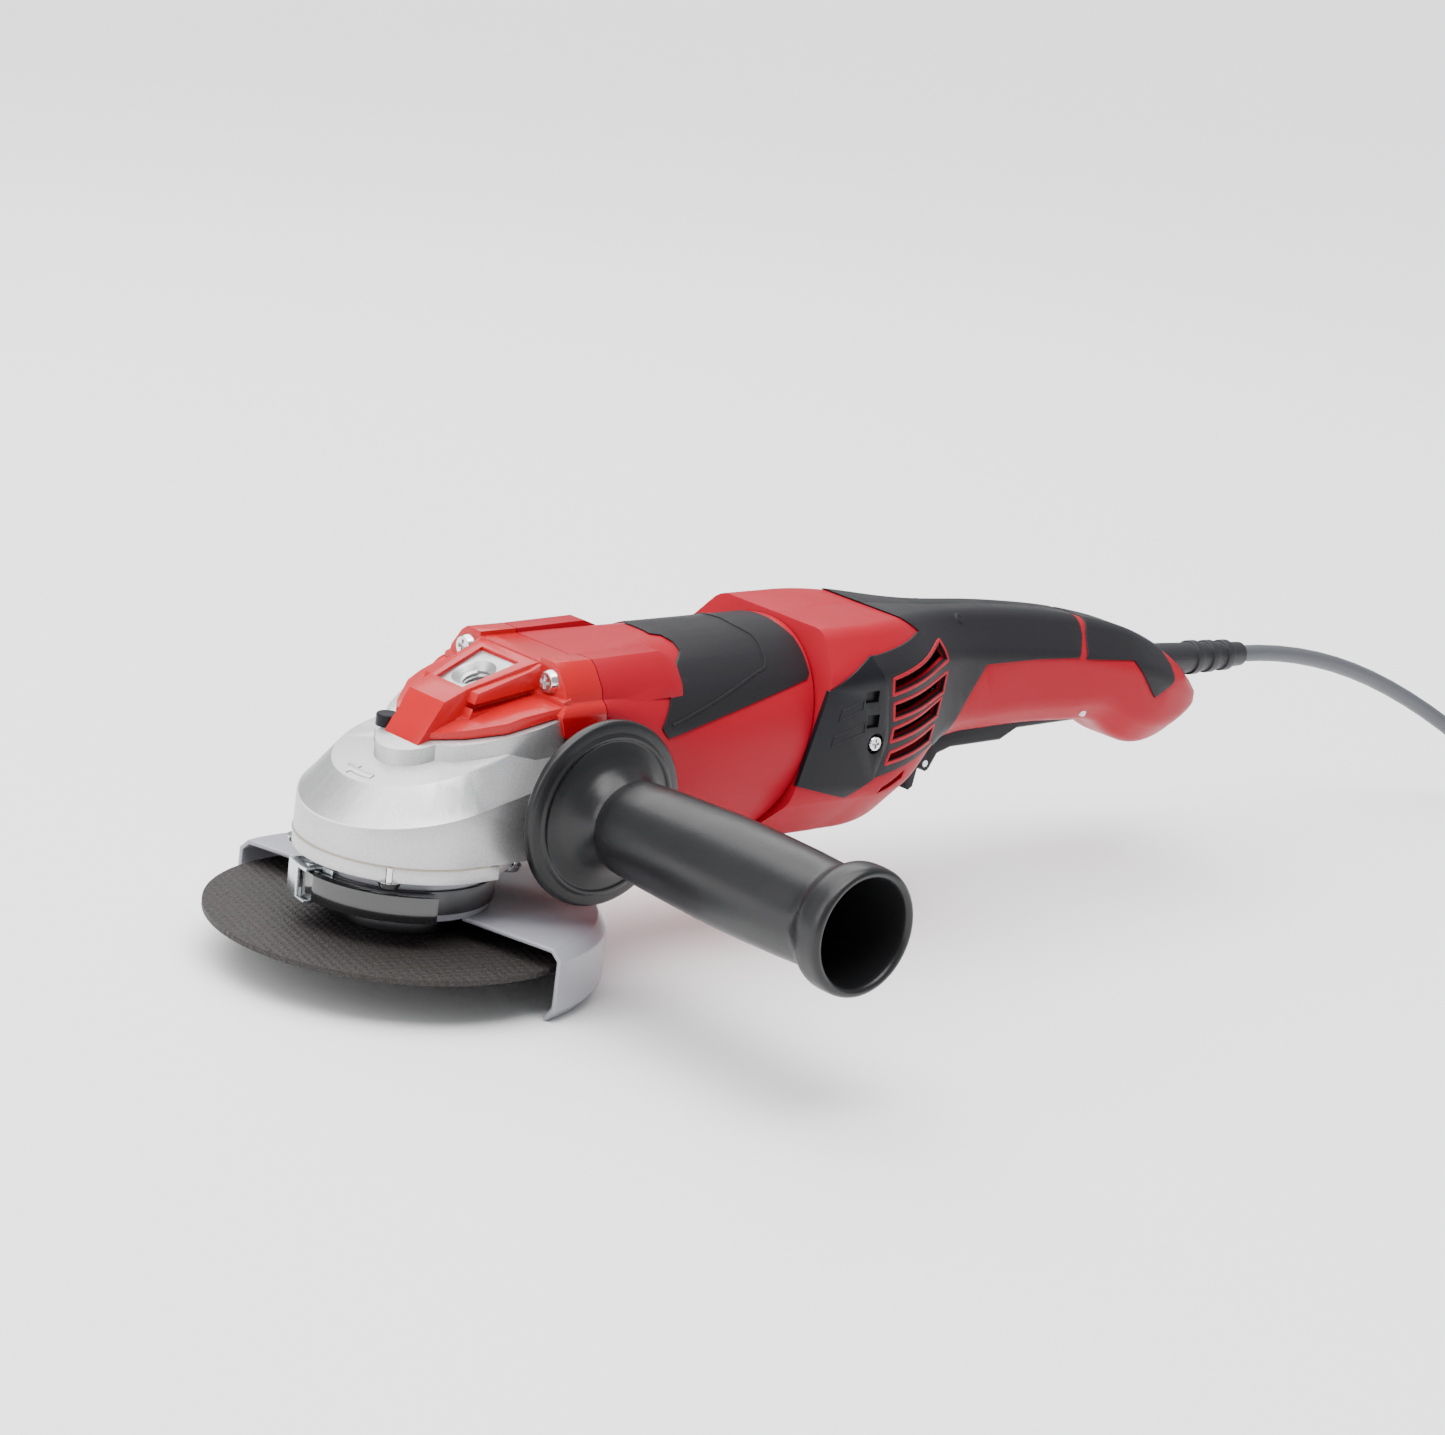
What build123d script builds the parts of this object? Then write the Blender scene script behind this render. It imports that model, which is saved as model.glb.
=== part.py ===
"""Angle grinder with a long tail grip, a quick-release guard and a side handle.

Frame: +Z along the spindle, away from the disc. +X from the spindle towards the tail. The side handle points
to -Y. The origin is the centre of the spindle's free end. Lengths are millimetres.
"""

from build123d import *
import os
from math import atan2, cos, degrees, pi, radians, sin, sqrt, tan

os.makedirs("parts", exist_ok=True)

# ---------------------------------------------------------------- driving dimensions
DISC_R = 62.5
DISC_Z = 9.4
DISC_T = 1.8
BORE_R = 11.1
THREAD_R = 7.0
SHOULDER_Z = 17.0
CASE_Z = 38.0
NOSE_R = 36.0
NECK_R = 26.95
MOTOR_Z = 63.0
MOTOR_R = 37.0
WALL = 2.8
GEAR_TEETH = 36
PINION_TEETH = 12
GEAR_R = 21.3
HANDLE_X = 41.5
HANDLE_Z = 54.7
SCREW_R = 2.0
FIT = 0.02
PAD_DEPTH = 1.3
PAD_PROUD = 0.5
JOINT_X = 117.3
JOINT_LEAN = 0.3
LOCK_X, LOCK_Y = -2.0, 12.85
FLOOR_Z = -5.6
CORD_D = 6.4

MOTOR = Plane(origin=(0, 0, MOTOR_Z), x_dir=(0, 1, 0), z_dir=(1, 0, 0))
SIDE = Plane(origin=(0, 0, 0), x_dir=(1, 0, 0), z_dir=(0, -1, 0))
HANDLE = Plane(origin=(HANDLE_X, 0, HANDLE_Z), x_dir=(1, 0, 0), z_dir=(0, -1, 0))
HALF_TURN = 180
BIG = 400


def save(part, label):
    part.label = label
    export_step(part, f"parts/{label}.step")


def at_x(x):
    """The motor's cross-section plane at x: local x is row Y, local y is height above the motor axis."""
    return MOTOR.offset(x)


# ---------------------------------------------------------------- shared shapes
def ring_z(r_out, r_in, z_low, z_high):
    with BuildPart() as ring:
        with BuildSketch(Plane.XY.offset(z_low)):
            Circle(r_out)
            if r_in:
                Circle(r_in, mode=Mode.SUBTRACT)
        extrude(amount=z_high - z_low)
    return ring.part


def ring_x(r_out, r_in, x_low, x_high):
    with BuildPart() as ring:
        with BuildSketch(at_x(x_low)):
            Circle(r_out)
            if r_in:
                Circle(r_in, mode=Mode.SUBTRACT)
        extrude(amount=x_high - x_low)
    return ring.part


def side_prism(points, half=60):
    """A block with an outline in the XZ plane, through the whole width."""
    with BuildPart() as prism:
        with BuildSketch(SIDE):
            Polygon(*points, align=None)
        extrude(amount=half, both=True)
    return prism.part


def plan_prism(points, z_low, z_high):
    with BuildPart() as prism:
        with BuildSketch(Plane.XY.offset(z_low)):
            Polygon(*points, align=None)
        extrude(amount=z_high - z_low)
    return prism.part


def pan_screw(plane, head_r, head_h, shank_r, length, at):
    """Pan-head cross-recess screw. The plane's origin is the seat and its normal points out of the head."""
    with BuildPart() as screw:
        with BuildSketch(plane):
            with Locations(*at):
                Circle(shank_r)
        extrude(amount=-length)
        with BuildSketch(plane):
            with Locations(*at):
                Circle(head_r)
        extrude(amount=head_h, taper=24)
        with BuildSketch(plane.offset(head_h)):
            with Locations(*at):
                Rectangle(head_r * 1.05, head_r * 0.28)
                Rectangle(head_r * 0.28, head_r * 1.05)
        extrude(amount=-head_h * 0.55, mode=Mode.SUBTRACT)
    return screw.part


# ---------------------------------------------------------------- outer body forms
def octagon(plane, half_w, low, high, top_cut, bottom_cut, radius, grow=0.0):
    """Eight-sided section with rounded corners, grown evenly. low and high are heights from the motor axis."""
    corner = (2 - sqrt(2)) * grow
    tw, th = (cut + corner for cut in top_cut)
    bw, bh = (cut + corner for cut in bottom_cut)
    half_w, low, high = half_w + grow, low - grow, high + grow
    radius = max(radius + grow, 0.8)
    with BuildSketch(plane) as sketch:
        Polygon(
            (-half_w + bw, low), (half_w - bw, low), (half_w, low + bh), (half_w, high - th),
            (half_w - tw, high), (-half_w + tw, high), (-half_w, high - th), (-half_w, low + bh),
            align=None,
        )
        fillet(sketch.vertices(), radius)
    return sketch.sketch


ROUND_CUT = MOTOR_R * (1 - tan(radians(22.5)))


def motor_form(grow=0.0, x_front=49.8, x_rear=152.0):
    """Motor housing outer form: faceted at the gear head, round further back."""
    round_cut = (ROUND_CUT, ROUND_CUT)
    facet_x = 90.0
    faceted = octagon(at_x(x_front), 33.5, -35, 34, (17, 12), (15, 15), 5, grow)
    rounded = octagon(at_x(facet_x), MOTOR_R, -MOTOR_R, MOTOR_R, round_cut, round_cut, MOTOR_R * 0.97, grow)
    with BuildPart() as form:
        loft([faceted, rounded], ruled=True)
        extrude(rounded, amount=x_rear - facet_x)
    return form.part


# x, half width, bottom z, top z, top corner cut, bottom corner cut, corner radius
REAR_STATIONS = (
    (163.0, 38.1, 25.9, 101.5, (12, 14), (21, 20), 9.0),
    (172.0, 38.0, 26.0, 101.5, (12, 14), (21, 20), 9.0),
    (190.0, 34.5, 29.0, 101.0, (13, 13), (18, 19), 9.0),
    (206.0, 27.5, 40.0, 99.5, (13, 12), (13, 15), 8.5),
    (222.0, 22.0, 50.5, 98.2, (12, 12), (10, 10), 8.0),
    (245.0, 20.0, 53.5, 96.8, (11, 13), (8, 9), 8.0),
    (270.0, 19.6, 53.5, 94.3, (11, 13), (8, 9), 8.0),
    (292.0, 19.8, 52.5, 91.0, (11, 13), (8, 9), 8.0),
    (308.0, 20.0, 50.0, 87.6, (11, 13), (9, 10), 8.0),
    (320.0, 20.0, 43.5, 84.4, (11, 12), (10, 11), 8.0),
    (333.0, 19.2, 39.3, 79.6, (11, 11), (10, 11), 8.0),
    (346.0, 16.5, 40.4, 73.2, (9, 9), (9, 9), 7.0),
    (357.0, 12.5, 43.8, 66.6, (7, 7), (7, 7), 5.0),
    (364.5, 8.5, 48.0, 60.6, (4, 4), (4, 4), 2.2),
)


def rear_form(grow=0.0):
    """Rear housing and grip outer form, as one smooth loft."""
    sections = [
        octagon(at_x(x), w, low - MOTOR_Z, high - MOTOR_Z, top_cut, bottom_cut, radius, grow)
        for x, w, low, high, top_cut, bottom_cut, radius in REAR_STATIONS
    ]
    with BuildPart() as form:
        loft(sections)
        extrude(sections[0], amount=-45)
    return form.part


def joint_side(front, gap=0.35):
    """Half space before or behind the leaning joint between motor housing and rear housing."""
    shift = -gap if front else gap
    low, high = -BIG, BIG
    edge = [(JOINT_X + shift + JOINT_LEAN * low, low), (JOINT_X + shift + JOINT_LEAN * high, high)]
    far = -BIG if front else 2 * BIG
    return side_prism([edge[0], edge[1], (far, high), (far, low)], 90)


# ---------------------------------------------------------------- gear head
def head_outline(plane, nose_r, half_w, x_rear):
    """Round nose with straight sides running back to x_rear."""
    with BuildSketch(plane) as sketch:
        with BuildLine():
            ThreePointArc((0, -half_w), (-nose_r, 0), (0, half_w))
            Polyline((0, half_w), (x_rear, half_w), (x_rear, -half_w), (0, -half_w))
        make_face()
    return sketch.sketch


def slanted(z_at_axis, slope):
    """Plane that rises towards the tail, through the spindle axis at z_at_axis."""
    lean = atan2(slope, 1)
    return Plane(origin=(0, 0, z_at_axis), x_dir=(cos(lean), 0, sin(lean)), z_dir=(-sin(lean), 0, cos(lean)))


CREASE_Z, CREASE_SLOPE = 56.2, 0.23
ROOF_Z, ROOF_SLOPE = 67.2, 0.30
STEP_Z = 72.6
PILLAR_Z, PILLAR_SLOPE = 82.2, 0.385
HOLE_X, HOLE_Z = 20.6, 90.1
TAP_R = 5.0


def head_form(grow=0.0):
    """Outer form of the gear case: upright band, sloped band and leaning roof."""
    lower = head_outline(slanted(CREASE_Z, CREASE_SLOPE), NOSE_R + grow, NOSE_R + grow, 52)
    upper = head_outline(slanted(ROOF_Z + grow, ROOF_SLOPE), 26.5 + grow, 28 + grow, 54)
    with BuildPart() as form:
        with BuildSketch(Plane.XY.offset(CASE_Z - max(grow, 0))):
            with Locations((-5, 0)):
                Rectangle(120, 120)
        extrude(amount=80)
        band = head_outline(Plane.XY.offset(CASE_Z - max(grow, 0)), NOSE_R + grow, NOSE_R + grow, 46)
        extrude(band, amount=60, mode=Mode.INTERSECT)
        split(bisect_by=slanted(CREASE_Z, CREASE_SLOPE), keep=Keep.BOTTOM)
        loft([lower, upper], ruled=True)
        split(bisect_by=Plane.YZ.offset(39.7), keep=Keep.BOTTOM)
    return form.part


with BuildPart() as gear_case:
    add(head_form())
    # raised step for the upper spindle bearing and the lock button
    with BuildSketch(Plane.XY.offset(60)):
        Polygon((-3.5, -10), (0.5, -18.5), (6.5, -23.5), (14.5, -28), (24, -31), (34, -32), (34, 32), (24, 31),
                (14.5, 28), (6.5, 23.5), (0.5, 18.5), (-3.5, 10), align=None)
        Circle(13, mode=Mode.ADD)
    extrude(amount=60)
    split(bisect_by=slanted(STEP_Z, ROOF_SLOPE), keep=Keep.BOTTOM)
    # pillar with the upper handle thread
    with BuildSketch(Plane.XY.offset(66)):
        Polygon((8.5, -7.6), (33.5, -11.2), (33.5, 11.2), (8.5, 7.6), align=None)
    extrude(amount=40)
    split(bisect_by=slanted(PILLAR_Z, PILLAR_SLOPE), keep=Keep.BOTTOM)
    # rear flange that meets the motor housing
    with BuildSketch(at_x(38)):
        Circle(31)
    extrude(amount=8)
    # bosses for the side handle, left and right
    for side in (-1, 1):
        with BuildSketch(Plane(origin=(HANDLE_X, side * 30, HANDLE_Z), x_dir=(1, 0, 0), z_dir=(0, side, 0))):
            Circle(13)
        extrude(amount=13)
    split(bisect_by=Plane.XY.offset(CASE_Z), keep=Keep.TOP)
    split(bisect_by=Plane.YZ.offset(49.3), keep=Keep.BOTTOM)
    # gear chamber, pinion tunnel, bearing seats
    with BuildSketch(Plane.XY.offset(CASE_Z)):
        Circle(25)
    extrude(amount=58.5 - CASE_Z, mode=Mode.SUBTRACT)
    with BuildSketch(Plane.XY.offset(57)):
        Circle(17.2)
    extrude(amount=3.2, mode=Mode.SUBTRACT)
    with BuildSketch(at_x(9)):
        Circle(9.4)
    extrude(amount=28, mode=Mode.SUBTRACT)
    with BuildSketch(at_x(36)):
        Circle(15)
    extrude(amount=9, mode=Mode.SUBTRACT)
    with BuildSketch(at_x(44.9)):
        Circle(29)
    extrude(amount=10, mode=Mode.SUBTRACT)
    with BuildSketch(Plane.XY.offset(60)):
        Circle(6)
    extrude(amount=9.8, mode=Mode.SUBTRACT)
    # spindle lock pin hole and spring pocket
    with BuildSketch(Plane.XY.offset(58)):
        with Locations((LOCK_X, LOCK_Y)):
            Circle(1.95)
    extrude(amount=30, mode=Mode.SUBTRACT)
    with BuildSketch(Plane.XY.offset(66)):
        with Locations((LOCK_X, LOCK_Y)):
            Circle(4.3)
    extrude(amount=30, mode=Mode.SUBTRACT)
    # handle threads: left, right and top
    for side in (-1, 1):
        with BuildSketch(Plane(origin=(HANDLE_X, side * 43, HANDLE_Z), x_dir=(1, 0, 0), z_dir=(0, side, 0))):
            Circle(TAP_R)
        extrude(amount=-12, mode=Mode.SUBTRACT)
    top_tap = Plane(origin=(HOLE_X, 0, HOLE_Z), x_dir=(cos(atan2(PILLAR_SLOPE, 1)), 0, sin(atan2(PILLAR_SLOPE, 1))),
                    z_dir=(-sin(atan2(PILLAR_SLOPE, 1)), 0, cos(atan2(PILLAR_SLOPE, 1))))
    with BuildSketch(top_tap):
        Circle(TAP_R)
    extrude(amount=-13, mode=Mode.SUBTRACT)
    with BuildSketch(top_tap.offset(0.05)):
        Circle(7.4)
    extrude(amount=-2.4, taper=45, mode=Mode.SUBTRACT)
    # threads for the cover screws and the cap screws
    with BuildSketch(Plane.XY.offset(CASE_Z)):
        with GridLocations(48, 48, 2, 2):
            Circle(SCREW_R)
    extrude(amount=9, mode=Mode.SUBTRACT)
save(gear_case.part, "gear_case")


def gear_cover():
    """Bearing cover under the gear case, with the neck that carries the guard."""
    with BuildPart() as part:
        flange = head_outline(Plane.XY.offset(33), NOSE_R, NOSE_R, 12)
        extrude(flange, amount=CASE_Z - 33 - 0.4)
        with BuildSketch(Plane.XY.offset(33)):
            Polygon((0, -34.5), (10, -34.5), (30, -22), (30, 22), (10, 34.5), (0, 34.5), align=None)
        extrude(amount=CASE_Z - 33 - 0.4)
        with BuildSketch(Plane.XY.offset(33)):
            Polygon((-60, -60), (10, -60), (10, -34.5), (30, -22), (30, 22), (10, 34.5), (10, 60), (-60, 60),
                    align=None)
        extrude(amount=10, mode=Mode.INTERSECT)
        add(ring_z(NECK_R, 0, 19, 33))
        add(ring_z(17.5, 0, 24.5, 40), mode=Mode.SUBTRACT)
        add(ring_z(12.4, 0, 18, 25), mode=Mode.SUBTRACT)
        with BuildSketch(Plane.XY.offset(33)):
            with GridLocations(48, 48, 2, 2):
                Circle(SCREW_R + 0.3)
        extrude(amount=10, mode=Mode.SUBTRACT)
    return part.part


bearing_cover = gear_cover()
save(bearing_cover, "bearing_cover")

with BuildPart() as gear_gasket:
    with BuildSketch(Plane.XY.offset(CASE_Z - 0.4)):
        Circle(NOSE_R + 0.4)
        with GridLocations(48, 48, 2, 2):
            Circle(SCREW_R + 0.3, mode=Mode.SUBTRACT)
        Circle(25, mode=Mode.SUBTRACT)
        with Locations((30, 0)):
            Rectangle(40, 90, mode=Mode.SUBTRACT)
    extrude(amount=0.4)
save(gear_gasket.part, "gear_gasket")

SCREW_SPOTS = [(x, y) for x in (-24, 24) for y in (-24, 24)]
UNDERSIDE = Plane(origin=(0, 0, 33), x_dir=(1, 0, 0), z_dir=(0, 0, -1))
with BuildPart() as cover_screws:
    add(pan_screw(UNDERSIDE, 4.0, 2.0, SCREW_R, 13, SCREW_SPOTS))
save(cover_screws.part, "cover_screws")


# ---------------------------------------------------------------- red head cap
CAP_SCREW_Z, CAP_SCREW_Y = 92.0, 21.5
CAP_FACE = Plane(origin=(34.5, 0, CAP_SCREW_Z), x_dir=(0, -1, 0), z_dir=(-1, 0, 0))
CAP_SPOTS = [(-CAP_SCREW_Y, 0), (CAP_SCREW_Y, 0)]


SHOULDER = [(15.5, 24), (31.0, 22), (29.6, 27.5), (25.2, 33.6), (22.6, 35.4), (15.5, 35.4)]


def cap_saddle():
    with BuildPart() as saddle:
        extrude(octagon(at_x(49.4), 33.5, -35, 34, (17, 12), (15, 15), 5), amount=-22)
        inner = octagon(at_x(50), 33.5, -35, 34, (17, 12), (15, 15), 5, -2.6)
        extrude(inner, amount=-12, mode=Mode.SUBTRACT)
        outline = [(34.5, 99), (34.5, 88.2), (31, 83.5), (33, 77), (40, 72), (40, 45), (49.4, 45), (49.4, 99)]
        add(side_prism(outline), mode=Mode.INTERSECT)
        # ears that carry the two screws
        for side in (-1, 1):
            with BuildSketch(at_x(34.5)):
                Polygon(*[(side * y, z) for y, z in SHOULDER], align=None)
            extrude(amount=49.4 - 34.5)
    return saddle.part


def cap_strap():
    """Sloping strap over the pillar, with the window for the upper handle thread."""
    outline = [(-9, 63), (-9, 66.4), (2.5, 84.3), (10.8, 88), (30.8, 95.3), (34.5, 96.4), (40, 97), (40, 90),
               (30.8, 84), (8, 78), (2, 70), (-4, 64)]
    with BuildPart() as strap:
        add(side_prism(outline, 30))
        with BuildSketch(Plane.XY.offset(55)):
            Polygon((-10, -8.5), (11, -9.6), (34, -14.5), (40, -16.5), (40, 16.5), (34, 14.5), (11, 9.6), (-10, 8.5),
                    align=None)
        extrude(amount=50, mode=Mode.INTERSECT)
    return strap.part


def cap_wings():
    """Side rails and fins either side of the strap, standing on the step of the gear case."""
    with BuildPart() as wings:
        for side in (-1, 1):
            fin = [(-2, 9), (5, 18), (15, 26), (34, 31), (36, 31), (36, 8), (0, 8)]
            with BuildSketch(Plane.XY.offset(60)):
                Polygon(*[(x, side * y) for x, y in fin], align=None)
            extrude(amount=60)
        split(bisect_by=slanted(75.4, 0.37), keep=Keep.BOTTOM)
        for side in (-1, 1):
            with BuildSketch(Plane.XY.offset(70)):
                rail = [(6, 7), (31, 10), (36, 12), (36, 16.5), (9.6, 13.5)]
                Polygon(*[(x, side * y) for x, y in rail], align=None)
            extrude(amount=40)
        lid = [(-4, 60), (-4, 73.5), (9.6, 79.5), (12, 87.5), (30.8, 94), (34.5, 96), (36, 96), (36, 60)]
        add(side_prism(lid), mode=Mode.INTERSECT)
        split(bisect_by=slanted(73.1, 0.30), keep=Keep.TOP)
        slot = [(10.5, 80.6), (33, 86), (33, 88.2), (10.5, 84)]
        add(side_prism(slot), mode=Mode.SUBTRACT)
    return wings.part


with BuildPart() as head_cap:
    add(cap_saddle())
    add(cap_strap())
    add(cap_wings())
    window = [(10.8, -6.8), (30.8, -9.6), (30.8, 9.6), (10.8, 6.8)]
    add(plan_prism(window, 74, 110), mode=Mode.SUBTRACT)
    add(gear_case.part, mode=Mode.SUBTRACT)
    # running room round the lock button and the handle flanges
    with BuildSketch(Plane.XY.offset(60)):
        with Locations((LOCK_X, LOCK_Y)):
            Circle(4.35)
    extrude(amount=40, mode=Mode.SUBTRACT)
    for side in (-1, 1):
        with BuildSketch(Plane(origin=(HANDLE_X, side * 20, HANDLE_Z), x_dir=(1, 0, 0), z_dir=(0, side, 0))):
            Circle(13.2)
        extrude(amount=30, mode=Mode.SUBTRACT)
    with BuildSketch(CAP_FACE.offset(1)):
        with Locations(*CAP_SPOTS):
            Circle(SCREW_R + 0.3)
    extrude(amount=-30, mode=Mode.SUBTRACT)
cap_solid = head_cap.part.solids().sort_by(SortBy.VOLUME)[-1]
with BuildPart() as head_cap_body:
    add(cap_solid)
save(head_cap_body.part, "head_cap")

with BuildPart() as head_cap_screws:
    add(pan_screw(CAP_FACE, 4.2, 2.1, SCREW_R, 24, CAP_SPOTS))
save(head_cap_screws.part, "head_cap_screws")


# ---------------------------------------------------------------- spindle and its bearings
def stack_z(steps):
    """Turned part on the spindle axis from (radius, z low, z high) steps."""
    with BuildPart() as part:
        for radius, low, high in steps:
            with BuildSketch(Plane.XY.offset(low)):
                Circle(radius)
            extrude(amount=high - low)
    return part.part


# plain lead below the thread, on which the lock nut is started
LEAD_R, LEAD = 6.6, 2.0
with BuildPart() as spindle:
    add(stack_z([(LEAD_R, 0, LEAD), (THREAD_R, LEAD, SHOULDER_Z), (8.5, SHOULDER_Z, 24.5), (7.48, 24.5, 35.5),
                 (8.5, 35.5, 49.9), (7.0, 49.9, 58.8), (4.0, 58.8, 69.5)]))
save(spindle.part, "spindle")

with BuildPart() as spindle_bearing:
    add(ring_z(17.5, 13.4, 24.5, 35.5))
    add(ring_z(14.0, 10.9, 25.3, 34.7))
    add(ring_z(11.2, 7.5, 24.5, 35.5))
save(spindle_bearing.part, "spindle_bearing")

with BuildPart() as needle_bush:
    add(ring_z(6.0, 4.0 + FIT, 62, 69.8))
save(needle_bush.part, "needle_bush")

GEAR_CONE = 90 - degrees(atan2(PINION_TEETH, GEAR_TEETH))


def cone_outline(teeth, tip, root, phase, plane):
    """Gear outline with straight-flanked teeth: the flanks narrow from the root to the tip."""
    pitch = 360 / teeth
    points = []
    for n in range(teeth):
        for share, radius in ((-0.30, root), (-0.14, tip), (0.14, tip), (0.30, root)):
            angle = radians(phase + (n + share) * pitch)
            points.append((radius * cos(angle), radius * sin(angle)))
    with BuildSketch(plane) as sketch:
        Polygon(*points, align=None)
    return sketch.sketch


def bevel_gear_part():
    low, high = 54.4, 57.9
    sections = []
    for z in (low, high):
        h = MOTOR_Z - z
        sections.append(cone_outline(GEAR_TEETH, h * tan(radians(73.6)), h * tan(radians(68.4)), 5, Plane.XY.offset(z)))
    with BuildPart() as gear:
        loft(sections, ruled=True)
        add(ring_z(GEAR_R, 0, low, high), mode=Mode.INTERSECT)
        add(ring_z(GEAR_R, 0, 50, low))
        add(ring_z(7.0, 0, 40, 60), mode=Mode.SUBTRACT)
        with BuildSketch(Plane.XY.offset(49)):
            with PolarLocations(13.0, 4, start_angle=98.8):
                Circle(2.3)
        extrude(amount=12, mode=Mode.SUBTRACT)
    return gear.part


save(bevel_gear_part(), "bevel_gear")


def bevel_pinion_part():
    sections = []
    for x in (14.2, 21.3):
        sections.append(cone_outline(PINION_TEETH, x * tan(radians(20.8)), x * tan(radians(15.2)), -90, at_x(x)))
    with BuildPart() as pinion:
        loft(sections, ruled=True)
        add(ring_x(8.2, 0, 21.3, 27))
        add(ring_x(2.8, 0, 10, 30), mode=Mode.SUBTRACT)
    return pinion.part


save(bevel_pinion_part(), "bevel_pinion")

# ---------------------------------------------------------------- disc clamping
with BuildPart() as inner_flange:
    add(stack_z([(20, 11.2, 15), (BORE_R, 9.6, 11.2), (12, 15, SHOULDER_Z)]))
    add(ring_z(THREAD_R, 0, 5, 20), mode=Mode.SUBTRACT)
save(inner_flange.part, "inner_flange")

with BuildPart() as cutting_disc:
    add(ring_z(DISC_R, BORE_R, DISC_Z, DISC_Z + DISC_T))
save(cutting_disc.part, "cutting_disc")

with BuildPart() as lock_nut:
    add(stack_z([(17.5, 3, 5), (20, 5, DISC_Z)]))
    add(ring_z(THREAD_R, 0, 0, 20), mode=Mode.SUBTRACT)
    with BuildSketch(Plane.XY.offset(3)):
        with PolarLocations(14.2, 4, start_angle=45):
            Circle(2.2)
    extrude(amount=4, mode=Mode.SUBTRACT)
save(lock_nut.part, "lock_nut")

# ---------------------------------------------------------------- guard
GUARD_R = 67.5
GUARD_Z = 16.9
SHEET = 1.6
GUARD_CHORD = [(16.5, -80), (-19.7, 80), (120, 80), (120, -80)]


def guard_sheet():
    """Half-covering guard: flat plate, rounded skirt and a lip turned in under the disc."""
    top = GUARD_Z + SHEET
    inside = GUARD_R - SHEET
    skirt = [(0, top), (64, top), (GUARD_R, 15.1), (GUARD_R, -1.0), (64.2, FLOOR_Z), (62.9, -4.7), (inside, -0.4),
             (inside, 14.6), (63.4, GUARD_Z), (0, GUARD_Z)]
    with BuildPart() as guard:
        with BuildSketch(Plane.XZ):
            Polygon(*skirt, align=None)
        revolve(axis=Axis.Z)
        with BuildSketch(Plane.XY.offset(-20)):
            Polygon(*GUARD_CHORD, align=None)
        extrude(amount=60, mode=Mode.INTERSECT)
        add(ring_z(27.0 + 0.05, 0, 0, 30), mode=Mode.SUBTRACT)
    return guard.part


guard = guard_sheet()
save(guard, "guard_shield")

with BuildPart() as guard_collar:
    add(ring_z(29, 27.05, GUARD_Z + SHEET, 31))
    # the collar's split, where the clamp pulls it together
    add(plan_prism([(-40, -1.2), (0, -1.2), (0, 1.2), (-40, 1.2)], 19.5, 40), mode=Mode.SUBTRACT)
save(guard_collar.part, "guard_collar")

with BuildPart() as clamp_band:
    add(ring_z(30.2, 29, 21, 29))
    add(plan_prism([(-40, -3), (0, -3), (0, 3), (-40, 3)], 20, 30), mode=Mode.SUBTRACT)
save(clamp_band.part, "clamp_band")


def sector(r_in, r_out, start, end, z_low, z_high):
    """Block of ring between two angles, for spans below a half turn."""
    with BuildPart() as block:
        add(ring_z(r_out, r_in, z_low, z_high))
        far = 3 * r_out
        middle = (start + end) / 2
        reach = far / cos(radians((end - start) / 4))
        points = [(0, 0)]
        for angle, length in ((start, far), (middle, reach * 1.4), (end, far)):
            points.append((length * cos(radians(angle)), length * sin(radians(angle))))
        add(plan_prism(points, z_low, z_high), mode=Mode.INTERSECT)
    return block.part


with BuildPart() as clamp_clip:
    add(sector(30.2, 31.0, 158, 187, 18.7, 30.4))
    add(sector(36.4, 37.4, 158, 170.5, 18.7, 30.4))
    # top and bottom plates either side of the lever's pivot
    for low, high in ((18.7, 19.9), (29.2, 30.4)):
        add(sector(30.2, 37.4, 158, 178, low, high))
    add(ring_z(30.2, 0, 10, 40), mode=Mode.SUBTRACT)
save(clamp_clip.part, "clamp_clip")

PIVOT = (-33.3, 4.6)
with BuildPart() as clamp_pin:
    with BuildSketch(Plane.XY.offset(18.2)):
        with Locations(PIVOT):
            Circle(1.5)
    extrude(amount=12.7)
with BuildPart() as clamp_clip_pinned:
    add(clamp_clip.part)
    add(clamp_pin.part)
save(clamp_clip_pinned.part, "clamp_clip")

with BuildPart() as clamp_lever:
    add(sector(31.9, 36.4, 182, 251, 20.3, 28.8))
    with BuildSketch(Plane.XY.offset(20.3)):
        with Locations(PIVOT):
            Circle(2.2)
        Polygon((-35.5, 4.6), (-31.1, 4.6), (-32.0, -1.5), (-36.3, -1.5), align=None)
    extrude(amount=8.5)
    with BuildSketch(Plane.XY.offset(10)):
        with Locations(PIVOT):
            Circle(1.5 + FIT)
    extrude(amount=30, mode=Mode.SUBTRACT)
    add(ring_z(30.6, 0, 10, 40), mode=Mode.SUBTRACT)
save(clamp_lever.part, "clamp_lever")

# ---------------------------------------------------------------- spindle lock
LOCK_TRAVEL = 3.5
LOCK_AT = Plane(origin=(LOCK_X, LOCK_Y, 0))


def turned_at(plane, steps):
    with BuildPart() as part:
        for radius, low, high in steps:
            with BuildSketch(plane.offset(low)):
                Circle(radius)
            extrude(amount=high - low)
    return part.part


with BuildPart() as lock_button:
    add(turned_at(LOCK_AT, [(1.9, 58.6, 71), (3.9, 71, 75)]))
    fillet(lock_button.edges().group_by(Axis.Z)[-1], 0.8)
save(lock_button.part, "lock_button")

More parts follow.
